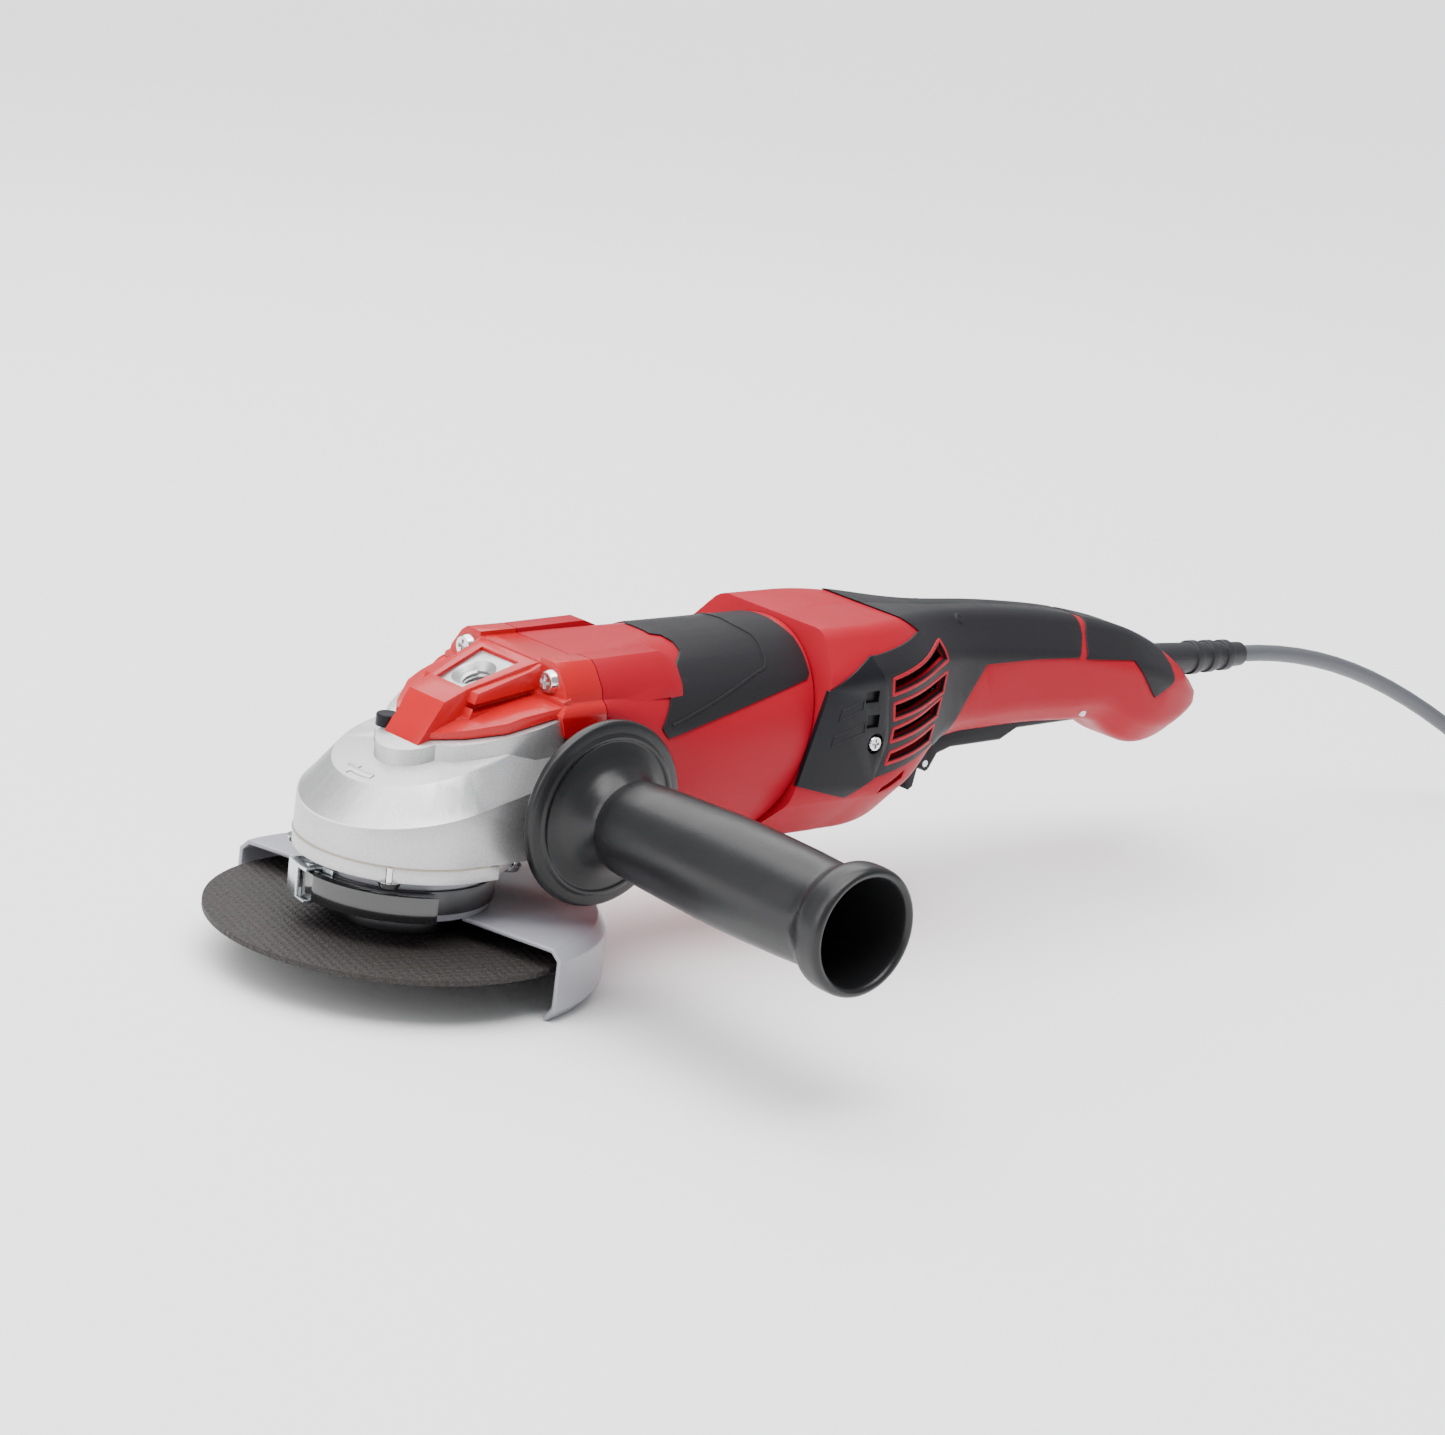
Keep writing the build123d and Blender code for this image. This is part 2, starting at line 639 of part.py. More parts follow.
with BuildPart() as lock_spring:
    add(turned_at(LOCK_AT, [(3.8, 66, 70.9)]))
    with BuildSketch(LOCK_AT.offset(60)):
        Circle(2.4)
    extrude(amount=20, mode=Mode.SUBTRACT)
save(lock_spring.part, "lock_spring")

# ---------------------------------------------------------------- side handle
HANDLE_SIDE = HANDLE.offset(43)
# distance out from the boss face, radius
HANDLE_PROFILE = [(0.4, 13.0), (0.4, 28.0), (2.0, 30.8), (4.5, 30.8), (5.6, 28.6), (5.6, 25.0), (6.8, 20.5),
                  (9.5, 16.8), (13.0, 14.0), (15.6, 13.4)]


def side_grip():
    outline = HANDLE_PROFILE
    swell = [(18.0, 15.2), (46.0, 17.0), (68.0, 17.6), (96.0, 17.1), (108.0, 16.4), (112.0, 17.6), (115.0, 19.2)]
    rim = [(118.0, 20.4), (123.4, 20.5), (125.2, 19.2), (125.2, 17.6), (122.0, 16.8), (92.0, 15.0), (92.0, 0)]
    with BuildPart() as grip:
        with BuildSketch(Plane.XY):
            with BuildLine():
                Polyline((outline[0][1], outline[0][0]), *[(r, d) for d, r in outline[1:]])
                Spline((outline[-1][1], outline[-1][0]), *[(r, d) for d, r in swell])
                Polyline((swell[-1][1], swell[-1][0]), *[(r, d) for d, r in rim], (0, 0.4),
                         (outline[0][1], outline[0][0]))
            make_face()
        revolve(axis=Axis.Y)
    return grip.part


with BuildPart() as side_handle:
    add(side_grip().moved(Location((HANDLE_X, -43, HANDLE_Z), (180, 0, 0))))
    with BuildSketch(HANDLE_SIDE):
        Circle(TAP_R)
    extrude(amount=32, mode=Mode.SUBTRACT)
save(side_handle.part, "side_handle")

with BuildPart() as handle_stud:
    with BuildSketch(HANDLE.offset(31.6)):
        Circle(TAP_R)
    extrude(amount=43)
save(handle_stud.part, "handle_stud")


# ---------------------------------------------------------------- motor
def stack_x(steps):
    """Turned part on the motor axis from (radius, x low, x high) steps."""
    with BuildPart() as part:
        for radius, low, high in steps:
            with BuildSketch(at_x(low)):
                Circle(radius)
            extrude(amount=high - low)
    return part.part


with BuildPart() as armature_shaft:
    add(stack_x([(2.8, 12, 27), (4.98, 27, 64), (5.0, 64, 165.5), (3.98, 165.5, 176)]))
save(armature_shaft.part, "armature_shaft")

with BuildPart() as front_motor_bearing:
    add(ring_x(15.0, 11.6, 36, 45))
    add(ring_x(12.2, 8.2, 36.7, 44.3))
    add(ring_x(8.6, 5.0, 36, 45))
save(front_motor_bearing.part, "front_motor_bearing")

with BuildPart() as rear_motor_bearing:
    add(ring_x(11.0, 8.6, 166, 173))
    add(ring_x(9.0, 6.4, 166.6, 172.4))
    add(ring_x(6.6, 4.0, 166, 173))
save(rear_motor_bearing.part, "rear_motor_bearing")

with BuildPart() as fan:
    add(ring_x(28.6, 0, 47.0, 48.2))
    add(ring_x(8.0, 0, 47.0, 56.0))
    with BuildSketch(at_x(48.2)):
        with PolarLocations(0, 12):
            with Locations((17.6, 0)):
                Rectangle(20.8, 1.4)
    extrude(amount=6.6)
    add(ring_x(4.98, 0, 40, 60), mode=Mode.SUBTRACT)
save(fan.part, "fan")

ROTOR_R = 22.0
SLOTS = 12
with BuildPart() as armature_core:
    add(ring_x(ROTOR_R, 5.0, 64, 112))
    with BuildSketch(at_x(63)):
        with PolarLocations(0, SLOTS):
            with Locations((20.8, 0)):
                Rectangle(3.6, 1.4)
            with Locations((16.6, 0)):
                Rectangle(5.6, 4.2)
    extrude(amount=60, mode=Mode.SUBTRACT)
save(armature_core.part, "armature_core")

with BuildPart() as armature_windings:
    add(ring_x(19.0, 5.0, 57.5, 64))
    add(ring_x(19.0, 5.0, 112, 127))
    with BuildSketch(at_x(64)):
        with PolarLocations(0, SLOTS):
            with Locations((16.6, 0)):
                Rectangle(5.4, 4.0)
    extrude(amount=48)
save(armature_windings.part, "armature_windings")

with BuildPart() as commutator:
    add(ring_x(12.0, 5.0, 139, 159))
    with BuildSketch(at_x(138)):
        with PolarLocations(0, 24):
            with Locations((12.0, 0)):
                Rectangle(1.4, 0.5)
    extrude(amount=30, mode=Mode.SUBTRACT)
save(commutator.part, "commutator")

STATOR_R = 31.6
BORE_GAP_R = 22.6
with BuildPart() as stator_core:
    add(ring_x(STATOR_R, BORE_GAP_R, 64, 112))
    with BuildSketch(at_x(60)):
        for side in (-1, 1):
            with Locations((side * 23.8, 0)):
                Rectangle(7.6, 26)
    extrude(amount=60, mode=Mode.SUBTRACT)
save(stator_core.part, "stator_core")

with BuildPart() as stator_coils:
    with BuildSketch(at_x(58.5)):
        for side in (-1, 1):
            with Locations((side * 25.3, 0)):
                Rectangle(4.2, 25.0)
    extrude(amount=60.5)
save(stator_coils.part, "stator_coils")


def wall_bridge(inner, x_low, x_high):
    """Slab of the housing's inside between two stations, to carry internal parts."""
    with BuildPart() as bridge:
        add(inner)
        with BuildSketch(at_x(x_low)):
            Rectangle(160, 200)
        extrude(amount=x_high - x_low, mode=Mode.INTERSECT)
    return bridge.part


# ---------------------------------------------------------------- motor housing
PAD_FRONT = [(87.4, 110), (87.4, 99.9), (91, 99.6), (92.9, 98.2), (92.4, 96.2), (88.7, 94.2), (80.6, 89.6),
             (77.9, 84.4), (74.5, 79.5), (72.5, 76.6), (75.1, 73.3)]
PAD_REAR = [(98.5, 78.1), (117.3, 81.8), (140.2, 86.2), (142, 87.8), (143.4, 93.5), (144, 97), (143.1, 99.7),
            (143.1, 110)]
motor_inside = motor_form(-WALL)


def motor_outside():
    """Outer form plus the two raised shoulders behind the gear head."""
    with BuildPart() as part:
        add(motor_form())
        for side in (-1, 1):
            with BuildSketch(at_x(49.8)) as front:
                Polygon(*[(side * y, z) for y, z in SHOULDER], align=None)
            with BuildSketch(at_x(78)) as back:
                Polygon(*[(side * y, z + 0.6) for y, z in SHOULDER], align=None)
            with BuildSketch(at_x(84)) as tip:
                Polygon(*[(side * y, z - 1.6) for y, z in SHOULDER], align=None)
            loft([front.sketch, back.sketch], ruled=True)
            loft([back.sketch, tip.sketch], ruled=True)
    return part.part


with BuildPart() as motor_pad:
    add(motor_form(PAD_PROUD))
    add(motor_form(-PAD_DEPTH), mode=Mode.SUBTRACT)
    add(side_prism(PAD_FRONT + PAD_REAR), mode=Mode.INTERSECT)
    add(joint_side(True), mode=Mode.INTERSECT)
save(motor_pad.part, "housing_pad")

with BuildPart() as motor_housing:
    add(motor_outside())
    add(motor_inside, mode=Mode.SUBTRACT)
    # ribs that hold the stator
    with BuildSketch(at_x(64)):
        with PolarLocations(0, 4, start_angle=45):
            with Locations((35, 0)):
                Rectangle(12, 3)
    extrude(amount=48)
    add(ring_x(STATOR_R, 0, 40, 130), mode=Mode.SUBTRACT)
    add(motor_outside(), mode=Mode.INTERSECT)
    # bosses for the head cap screws
    with BuildSketch(at_x(49.8)):
        with Locations((-CAP_SCREW_Y, CAP_SCREW_Z - MOTOR_Z), (CAP_SCREW_Y, CAP_SCREW_Z - MOTOR_Z)):
            Circle(4.0)
    extrude(amount=9.5)
    with BuildSketch(at_x(49)):
        with Locations((-CAP_SCREW_Y, CAP_SCREW_Z - MOTOR_Z), (CAP_SCREW_Y, CAP_SCREW_Z - MOTOR_Z)):
            Circle(SCREW_R)
    extrude(amount=9.5, mode=Mode.SUBTRACT)
    add(motor_pad.part, mode=Mode.SUBTRACT)
    add(joint_side(True), mode=Mode.INTERSECT)
    add(ring_x(29.4, 0, 40, 58), mode=Mode.SUBTRACT)
save(motor_housing.part, "motor_housing")


# ---------------------------------------------------------------- rear housing and grip
COVER = [(142.5, 84), (133, 52), (157, 45), (169, 51), (173.5, 64), (170.5, 82), (164.5, 93.4)]
SLEEVE = [(164.5, 93.4), (170.5, 82), (173.5, 64), (169, 51.3), (207, 57), (215, 52), (221, 60.5), (236, 81),
          (263, 80.5), (285, 79.2), (291, 86), (299, 115), (189, 115), (189, 102), (197, 96.8), (167, 93.3)]
TAIL_PAD = [(289, 78.3), (316, 75.5), (329, 60.5), (341, 65), (343.5, 70), (340, 77), (334, 95), (325, 115),
            (302, 115), (300, 94), (293.5, 86)]
VENTS = [
    [(173.5, 81), (209.6, 86.5), (208.6, 91.6), (173, 85.3)],
    [(175.6, 72), (208.8, 75.3), (209.7, 81), (174.8, 76.4)],
    [(175.6, 64.2), (206, 67.2), (207.5, 72.2), (176, 67.4)],
    [(174.7, 56.5), (202.2, 59.1), (203.9, 63), (175.7, 59)],
    [(173.5, 44.5), (185, 49), (186, 51.8), (174.3, 46.9)],
]
WINDOWS = [
    [(160, 78.5), (166, 78.5), (166, 82.5), (160, 82.5)],
    [(162, 69.5), (167.5, 69.5), (167.5, 74), (162, 74)],
]
BRUSH_X = 149.0
PADDLE_HALF = 9.5
HINGE_X, HINGE_Z = 296.0, 56.4
LOCK_PIN_X, LOCK_PIN_Z = 223.5, 42.3
DIAL_X, DIAL_Z, DIAL_R = 362.5, 55.0, 6.0
BOOT_START, BOOT_END = (338.0, 68.2), (397.0, 66.5)
BOOT_LEAN = atan2(BOOT_END[1] - BOOT_START[1], BOOT_END[0] - BOOT_START[0])
BOOT = Plane(origin=(BOOT_START[0], 0, BOOT_START[1]), x_dir=(0, 1, 0), z_dir=(cos(BOOT_LEAN), 0, sin(BOOT_LEAN)))
LEFT, RIGHT = 1, -1


def half_space(side):
    with BuildPart() as part:
        with BuildSketch(Plane.XY.offset(-BIG)):
            with Locations((0, side * BIG)):
                Rectangle(4 * BIG, 2 * BIG)
        extrude(amount=2 * BIG)
    return part.part


rear_outer = rear_form()
rear_inner = rear_form(-WALL)
pad_layer_outer = rear_form(PAD_PROUD)
pad_layer_inner = rear_form(-PAD_DEPTH)
with BuildPart() as pad_layer:
    add(pad_layer_outer)
    add(pad_layer_inner, mode=Mode.SUBTRACT)


with BuildPart() as vent_cuts:
    for vent in VENTS:
        add(side_prism(vent))
paddle_slot = side_prism([(217.5, 20), (217.5, 64), (299.5, 64), (299.5, 20)], PADDLE_HALF + 0.4)


def pad(outline, cuts=None):
    """Soft or separate panel let into the housing wall inside the given side outline."""
    with BuildPart() as part:
        add(side_prism(outline))
        if cuts:
            add(cuts, mode=Mode.SUBTRACT)
        add(pad_layer.part, mode=Mode.INTERSECT)
    return part.part


def one_side(part, side):
    with BuildPart() as half:
        add(part)
        add(half_space(side), mode=Mode.INTERSECT)
    return half.part


covers = pad(COVER)
with BuildPart() as cover_plates:
    add(covers)
    for window in WINDOWS:
        add(side_prism(window), mode=Mode.SUBTRACT)
    with BuildSketch(SIDE):
        with Locations((167.2, 63.6)):
            Circle(SCREW_R + 0.3)
    extrude(amount=60, both=True, mode=Mode.SUBTRACT)
    # counterbores for the screw heads
    for side in (LEFT, RIGHT):
        with BuildSketch(Plane(origin=(0, side * 36.9, 0), x_dir=(1, 0, 0), z_dir=(0, side, 0))):
            with Locations((167.2, -63.6 * side)):
                Circle(3.6)
        extrude(amount=10, mode=Mode.SUBTRACT)
sleeves = pad(SLEEVE, [paddle_slot, vent_cuts.part])
tail_pads = pad(TAIL_PAD)
for side, name in ((LEFT, "left"), (RIGHT, "right")):
    save(one_side(cover_plates.part, side), f"brush_cover_{name}")
    save(one_side(sleeves, side), f"grip_sleeve_{name}")
    save(one_side(tail_pads, side), f"tail_pad_{name}")


def front_wall():
    """Wall behind the joint, closing the square housing round the round motor housing."""
    with BuildPart() as wall:
        add(rear_outer)
        add(joint_side(True, -3.5), mode=Mode.INTERSECT)
        add(ring_x(MOTOR_R - WALL, 0, 90, 170), mode=Mode.SUBTRACT)
    return wall.part


def rear_shell():
    with BuildPart() as shell:
        add(rear_outer)
        with BuildPart(mode=Mode.PRIVATE) as hollow:
            add(rear_inner)
            with BuildSketch(at_x(100)):
                Rectangle(160, 200)
            extrude(amount=250, mode=Mode.INTERSECT)
        add(hollow.part, mode=Mode.SUBTRACT)
        # bulkheads for the rear bearing, the switch and the cord clamp
        for low, high in ((166, 173), (240, 243), (282, 285), (322, 330)):
            add(wall_bridge(rear_inner, low, high))
        add(front_wall())
        add(joint_side(False), mode=Mode.INTERSECT)
        add(ring_x(11.0, 0, 165, 174), mode=Mode.SUBTRACT)
        with BuildSketch(at_x(236)):
            with Locations((0, 15)):
                Rectangle(17.6, 13.6)
        extrude(amount=50, mode=Mode.SUBTRACT)
        with BuildSketch(at_x(160)):
            with GridLocations(40, 24, 2, 2):
                Circle(6.5)
        extrude(amount=20, mode=Mode.SUBTRACT)
        # paddle opening and the room it moves in
        add([paddle_slot, vent_cuts.part, covers, sleeves, tail_pads], mode=Mode.SUBTRACT)
        # brush holders and cover screws come in from the side
        with BuildSketch(SIDE):
            with Locations((BRUSH_X, MOTOR_Z)):
                Rectangle(14, 18)
            with Locations((167.2, 63.6)):
                Circle(SCREW_R)
        extrude(amount=60, both=True, mode=Mode.SUBTRACT)
        # paddle pin
        add(bridge_ears())
        with BuildSketch(SIDE):
            with Locations((HINGE_X, HINGE_Z)):
                Circle(1.5)
        extrude(amount=16, both=True, mode=Mode.SUBTRACT)
        # speed dial
        with BuildSketch(SIDE):
            with Locations((DIAL_X, DIAL_Z)):
                Circle(DIAL_R + 0.4)
        extrude(amount=3.4, both=True, mode=Mode.SUBTRACT)
        with BuildSketch(SIDE):
            with Locations((DIAL_X, DIAL_Z)):
                Circle(1.5 + FIT)
        extrude(amount=6, both=True, mode=Mode.SUBTRACT)
        # cord boot and cord
        with BuildSketch(BOOT):
            Circle(6.3)
        extrude(amount=60, mode=Mode.SUBTRACT)
        with BuildSketch(BOOT.offset(2)):
            Circle(CORD_D / 2 + 0.1)
        extrude(amount=-30, mode=Mode.SUBTRACT)
    return shell.part


def bridge_ears():
    """Blocks inside the grip that carry the paddle's pin."""
    with BuildPart() as ears:
        add(rear_inner)
        with BuildSketch(at_x(291)):
            for y in (-15.2, 15.2):
                with Locations((y, HINGE_Z - MOTOR_Z)):
                    Rectangle(10.6, 8)
        extrude(amount=10, mode=Mode.INTERSECT)
    return ears.part


rear = rear_shell()
for side, name in ((LEFT, "left"), (RIGHT, "right")):
    with BuildPart() as half:
        add(one_side(rear, side))
        solids = half.part.solids().sort_by(SortBy.VOLUME)
    with BuildPart() as whole:
        add(solids[-1])
    save(whole.part, f"rear_housing_{name}")


# ---------------------------------------------------------------- brushes, screws
with BuildPart() as brush_holders:
    with BuildSketch(SIDE.offset(13.5)):
        with Locations((BRUSH_X, MOTOR_Z)):
            Rectangle(13.6, 17.6)
            Rectangle(6.1, 10.1, mode=Mode.SUBTRACT)
    extrude(amount=19.5)
    mirror(about=Plane.XZ)
save(brush_holders.part, "brush_holders")

with BuildPart() as carbon_brushes:
    with BuildSketch(SIDE.offset(12.0)):
        with Locations((BRUSH_X, MOTOR_Z)):
            Rectangle(6, 10)
    extrude(amount=12)
    mirror(about=Plane.XZ)
save(carbon_brushes.part, "carbon_brushes")

with BuildPart() as brush_springs:
    with BuildSketch(SIDE.offset(24.0)):
        with Locations((BRUSH_X, MOTOR_Z)):
            Circle(2.8)
            Circle(1.9, mode=Mode.SUBTRACT)
    extrude(amount=8)
    with BuildSketch(SIDE.offset(32.0)):
        with Locations((BRUSH_X, MOTOR_Z)):
            Rectangle(6, 10)
    extrude(amount=0.9)
    mirror(about=Plane.XZ)
save(brush_springs.part, "brush_springs")

COVER_SCREW = (167.2, 63.6)
COVER_FACE_Y = 37.0
with BuildPart() as brush_cover_screws:
    for side in (LEFT, RIGHT):
        face = Plane(origin=(COVER_SCREW[0], side * COVER_FACE_Y, COVER_SCREW[1]), x_dir=(1, 0, 0), z_dir=(0, side, 0))
        add(pan_screw(face, 3.2, 1.9, SCREW_R, 9, [(0, 0)]))
save(brush_cover_screws.part, "brush_cover_screws")

with BuildPart() as air_baffle:
    add(ring_x(33.6, 23.0, 122, 124))
    with BuildSketch(at_x(121)):
        Rectangle(80, 12)
    extrude(amount=10, mode=Mode.SUBTRACT)
baffle_parts = air_baffle.part
save(baffle_parts, "air_baffle")

# ---------------------------------------------------------------- switch, paddle and lock-off lever
with BuildPart() as switch_block:
    with BuildSketch(at_x(237)):
        with Locations((0, 15)):
            RectangleRounded(17.6, 13.6, 1.0)
    extrude(amount=50)
    with BuildSketch(at_x(262)):
        with Locations((0, 6.5)):
            Rectangle(5, 4)
    extrude(amount=6)
save(switch_block.part, "switch_block")

PADDLE = [(298.4, 59.6), (298.4, 51.4), (269, 51.0), (261, 47.3), (236, 47.0), (229.5, 45.2), (226.8, 40.6),
          (223.9, 39.4), (220.9, 41.2), (220.4, 44.6), (222.5, 50.5), (227, 55.5), (233, 58.5)]
with BuildPart() as paddle_switch:
    with BuildSketch(SIDE):
        Polygon(*PADDLE, align=None)
    extrude(amount=PADDLE_HALF, both=True)
    outer_edges = paddle_switch.edges().filter_by(lambda edge: edge.center().Z < 52 and edge.center().X > 226)
    fillet(outer_edges.filter_by(lambda edge: abs(edge.center().Y) > PADDLE_HALF - 0.1), 1.6)
    with BuildSketch(SIDE):
        with Locations((HINGE_X, HINGE_Z)):
            Circle(1.5 + FIT)
    extrude(amount=20, both=True, mode=Mode.SUBTRACT)
    # hollow back and the fork for the lock-off lever
    with BuildSketch(Plane.XY.offset(51)):
        with Locations((262, 0)):
            Rectangle(52, 15)
    extrude(amount=20, mode=Mode.SUBTRACT)
    with BuildSketch(Plane.XY.offset(30)):
        with Locations((222, 0)):
            Rectangle(17, 8.0)
    extrude(amount=22, mode=Mode.SUBTRACT)
    with BuildSketch(SIDE):
        with Locations((LOCK_PIN_X, LOCK_PIN_Z)):
            Circle(1.25)
    extrude(amount=PADDLE_HALF, both=True, mode=Mode.SUBTRACT)
save(paddle_switch.part, "paddle_switch")

with BuildPart() as paddle_pin:
    with BuildSketch(SIDE):
        with Locations((HINGE_X, HINGE_Z)):
            Circle(1.5)
    extrude(amount=15.5, both=True)
save(paddle_pin.part, "paddle_pin")

with BuildPart() as lock_off_pin:
    with BuildSketch(SIDE):
        with Locations((LOCK_PIN_X, LOCK_PIN_Z)):
            Circle(1.25)
    extrude(amount=PADDLE_HALF, both=True)
save(lock_off_pin.part, "lock_off_pin")

LEVER = [(221.2, 46.0), (225.8, 46.0), (226.6, 41.5), (225.6, 36.5), (224.8, 32.0), (222.8, 30.8), (220.8, 31.6),
         (220.4, 35.0), (219.6, 39.0), (220.0, 43.0)]
with BuildPart() as lock_off_lever:
    with BuildSketch(SIDE):
        Polygon(*LEVER, align=None)
    extrude(amount=3.7, both=True)
    fillet(lock_off_lever.edges().group_by(Axis.Z)[0], 0.5)
    with BuildSketch(SIDE):
        with Locations((LOCK_PIN_X, LOCK_PIN_Z)):
            Circle(1.25 + FIT)
    extrude(amount=20, both=True, mode=Mode.SUBTRACT)
save(lock_off_lever.part, "lock_off_lever")

# ---------------------------------------------------------------- speed control
with BuildPart() as speed_module:
    with BuildSketch(at_x(292)):
        with Locations((0, 9)):
            RectangleRounded(16, 12, 1.0)
    extrude(amount=29.6)
save(speed_module.part, "speed_module")

with BuildPart() as speed_dial:
    with BuildSketch(SIDE):
        with Locations((DIAL_X, DIAL_Z)):
            Circle(DIAL_R)
            with PolarLocations(DIAL_R, 18):
                Rectangle(0.9, 0.7, mode=Mode.SUBTRACT)
    extrude(amount=3.0, both=True)
    with BuildSketch(SIDE):
        with Locations((DIAL_X, DIAL_Z)):
            Circle(1.5)
    extrude(amount=5.2, both=True)
save(speed_dial.part, "speed_dial")

# ---------------------------------------------------------------- mains cord, laid out on the floor and coiled
def disc_face(plane, radius):
    with BuildSketch(plane) as sketch:
        Circle(radius)
    return sketch.sketch


with BuildPart() as strain_relief:
    with BuildSketch(BOOT):
        Circle(6.25)
    extrude(amount=14)
    loft([disc_face(BOOT.offset(14), 6.25), disc_face(BOOT.offset(59), 4.6)])
    for n in range(3):
        with BuildSketch(BOOT.offset(29 + 9 * n)):
            Circle(6.5 - 0.3 * n)
        extrude(amount=4)
    with BuildSketch(BOOT.offset(-1)):
        Circle(CORD_D / 2 + 0.25)
    extrude(amount=70, mode=Mode.SUBTRACT)
save(strain_relief.part, "strain_relief")

with BuildPart() as cord_clamp:
    with BuildSketch(at_x(331)):
        with Locations((0, 5.2)):
            RectangleRounded(15, 12, 1.5)
            Circle(CORD_D / 2 + 0.15, mode=Mode.SUBTRACT)
    extrude(amount=5)
save(cord_clamp.part, "cord_clamp")

CORD_LOW = FLOOR_Z + CORD_D / 2 + 0.1
COIL_X, COIL_MEAN_R = 672.0, 38.4
COIL_HALF_W, COIL_HEIGHT = 16.4, 13.1
COIL_OUTER_TURN = 51.5
PLUG_X = 782.0
PLUG_Z = FLOOR_Z + 13.1
CORD_PATH = [(340.0, 0, 68.15), (432.0, 0, 65.5), (505.0, 0, 42.0), (566.0, -22.0, CORD_LOW + 3),
             (618.0, -COIL_OUTER_TURN, CORD_LOW), (672.0, -COIL_OUTER_TURN, CORD_LOW)]


def bend_radius(points):
    """Corner radii as 0.45 of the shorter run over the tangent of half the turn."""
    radii = []
    for before, corner, after in zip(points, points[1:], points[2:]):
        one = Vector(*corner) - Vector(*before)
        two = Vector(*after) - Vector(*corner)
        half_turn = radians(one.get_angle(two)) / 2
        radii.append(0.45 * min(one.length, two.length) / tan(half_turn))
    return radii


def cord_tube(points):
    """Round cord along a filleted polyline, with its length and bend radii printed."""
    radii = bend_radius(points)
    with BuildPart() as tube:
        with BuildLine() as line:
            FilletPolyline(*points, radius=radii)
        start = line.edges()[0]
        with BuildSketch(Plane(origin=start @ 0, z_dir=start % 0)):
            Circle(CORD_D / 2)
        sweep()
    length = sum(edge.length for edge in line.edges())
    print("cord run", round(length, 1), "bend radii", [round(r, 1) for r in radii])
    print("volume", round(tube.part.volume), "section x length", round(length * pi * CORD_D ** 2 / 4))
    return tube.part


# the lead ends where it meets the coil's outer turn
with BuildPart() as power_cord:
    add(cord_tube(CORD_PATH))
    with BuildSketch(Plane.XY.offset(-30)):
        with Locations((COIL_X, 0)):
            Circle(COIL_MEAN_R + COIL_HALF_W + 0.05)
    extrude(amount=60, mode=Mode.SUBTRACT)
lead = power_cord.part.solids().sort_by(SortBy.VOLUME)[-1]
with BuildPart() as power_cord_lead:
    add(lead)
save(power_cord_lead.part, "power_cord")

with BuildPart() as cord_coil:
    with BuildSketch(Plane.XY.offset(FLOOR_Z + 0.1)):
        with Locations((COIL_X, 0)):
            Circle(COIL_MEAN_R + COIL_HALF_W)
            Circle(COIL_MEAN_R - COIL_HALF_W, mode=Mode.SUBTRACT)
    extrude(amount=COIL_HEIGHT)
    fillet(cord_coil.edges(), 3)
save(cord_coil.part, "cord_coil")

# two-pin plug lying beside the coil, on its flat side
with BuildPart() as plug:
    with BuildSketch(Plane.YZ.offset(PLUG_X)):
        with Locations((0, PLUG_Z)):
            RectangleRounded(30, 26, 6)
    with BuildSketch(Plane.YZ.offset(PLUG_X + 32)):
        with Locations((0, PLUG_Z)):
            RectangleRounded(34, 26, 8)
    loft()
    with BuildSketch(Plane.YZ.offset(PLUG_X + 32)):
        for y in (-9.5, 9.5):
            with Locations((y, PLUG_Z)):
                Circle(2.4)
    extrude(amount=19)
    with BuildSketch(Plane.YZ.offset(PLUG_X - 24)):
        with Locations((0, PLUG_Z)):
            Circle(4.6)
    with BuildSketch(Plane.YZ.offset(PLUG_X)):
        with Locations((0, PLUG_Z)):
            Circle(8.0)
    loft()
save(plug.part, "plug")
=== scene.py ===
import bpy
import bmesh
import math
from mathutils import Matrix, Vector
from mathutils.bvhtree import BVHTree


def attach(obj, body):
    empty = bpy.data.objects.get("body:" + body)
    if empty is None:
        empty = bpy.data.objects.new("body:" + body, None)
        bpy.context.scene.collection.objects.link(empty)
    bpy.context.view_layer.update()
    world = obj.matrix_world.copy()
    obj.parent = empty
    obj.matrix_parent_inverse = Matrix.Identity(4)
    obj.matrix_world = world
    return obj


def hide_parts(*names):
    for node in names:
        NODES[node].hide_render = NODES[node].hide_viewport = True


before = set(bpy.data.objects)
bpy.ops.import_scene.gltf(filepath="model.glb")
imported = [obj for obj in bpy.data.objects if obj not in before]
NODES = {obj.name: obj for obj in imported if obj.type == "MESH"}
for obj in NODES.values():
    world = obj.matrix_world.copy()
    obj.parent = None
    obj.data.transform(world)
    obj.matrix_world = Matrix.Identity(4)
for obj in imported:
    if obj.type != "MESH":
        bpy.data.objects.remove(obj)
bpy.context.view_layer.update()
MM = 0.001
GRAIN_DEPTH = 0.0002


# ------------------------------------------------------------------ materials
def new_material(name):
    material = bpy.data.materials.new(name)
    material.use_nodes = True
    tree = material.node_tree
    shader = tree.nodes["Principled BSDF"]
    return material, tree, shader


def link(tree, a, b):
    tree.links.new(a, b)


def coords(tree, scale=(1, 1, 1), rotation=(0, 0, 0)):
    source = tree.nodes.new("ShaderNodeTexCoord")
    mapping = tree.nodes.new("ShaderNodeMapping")
    mapping.inputs["Scale"].default_value = scale
    mapping.inputs["Rotation"].default_value = rotation
    link(tree, source.outputs["Object"], mapping.inputs["Vector"])
    return mapping.outputs["Vector"]


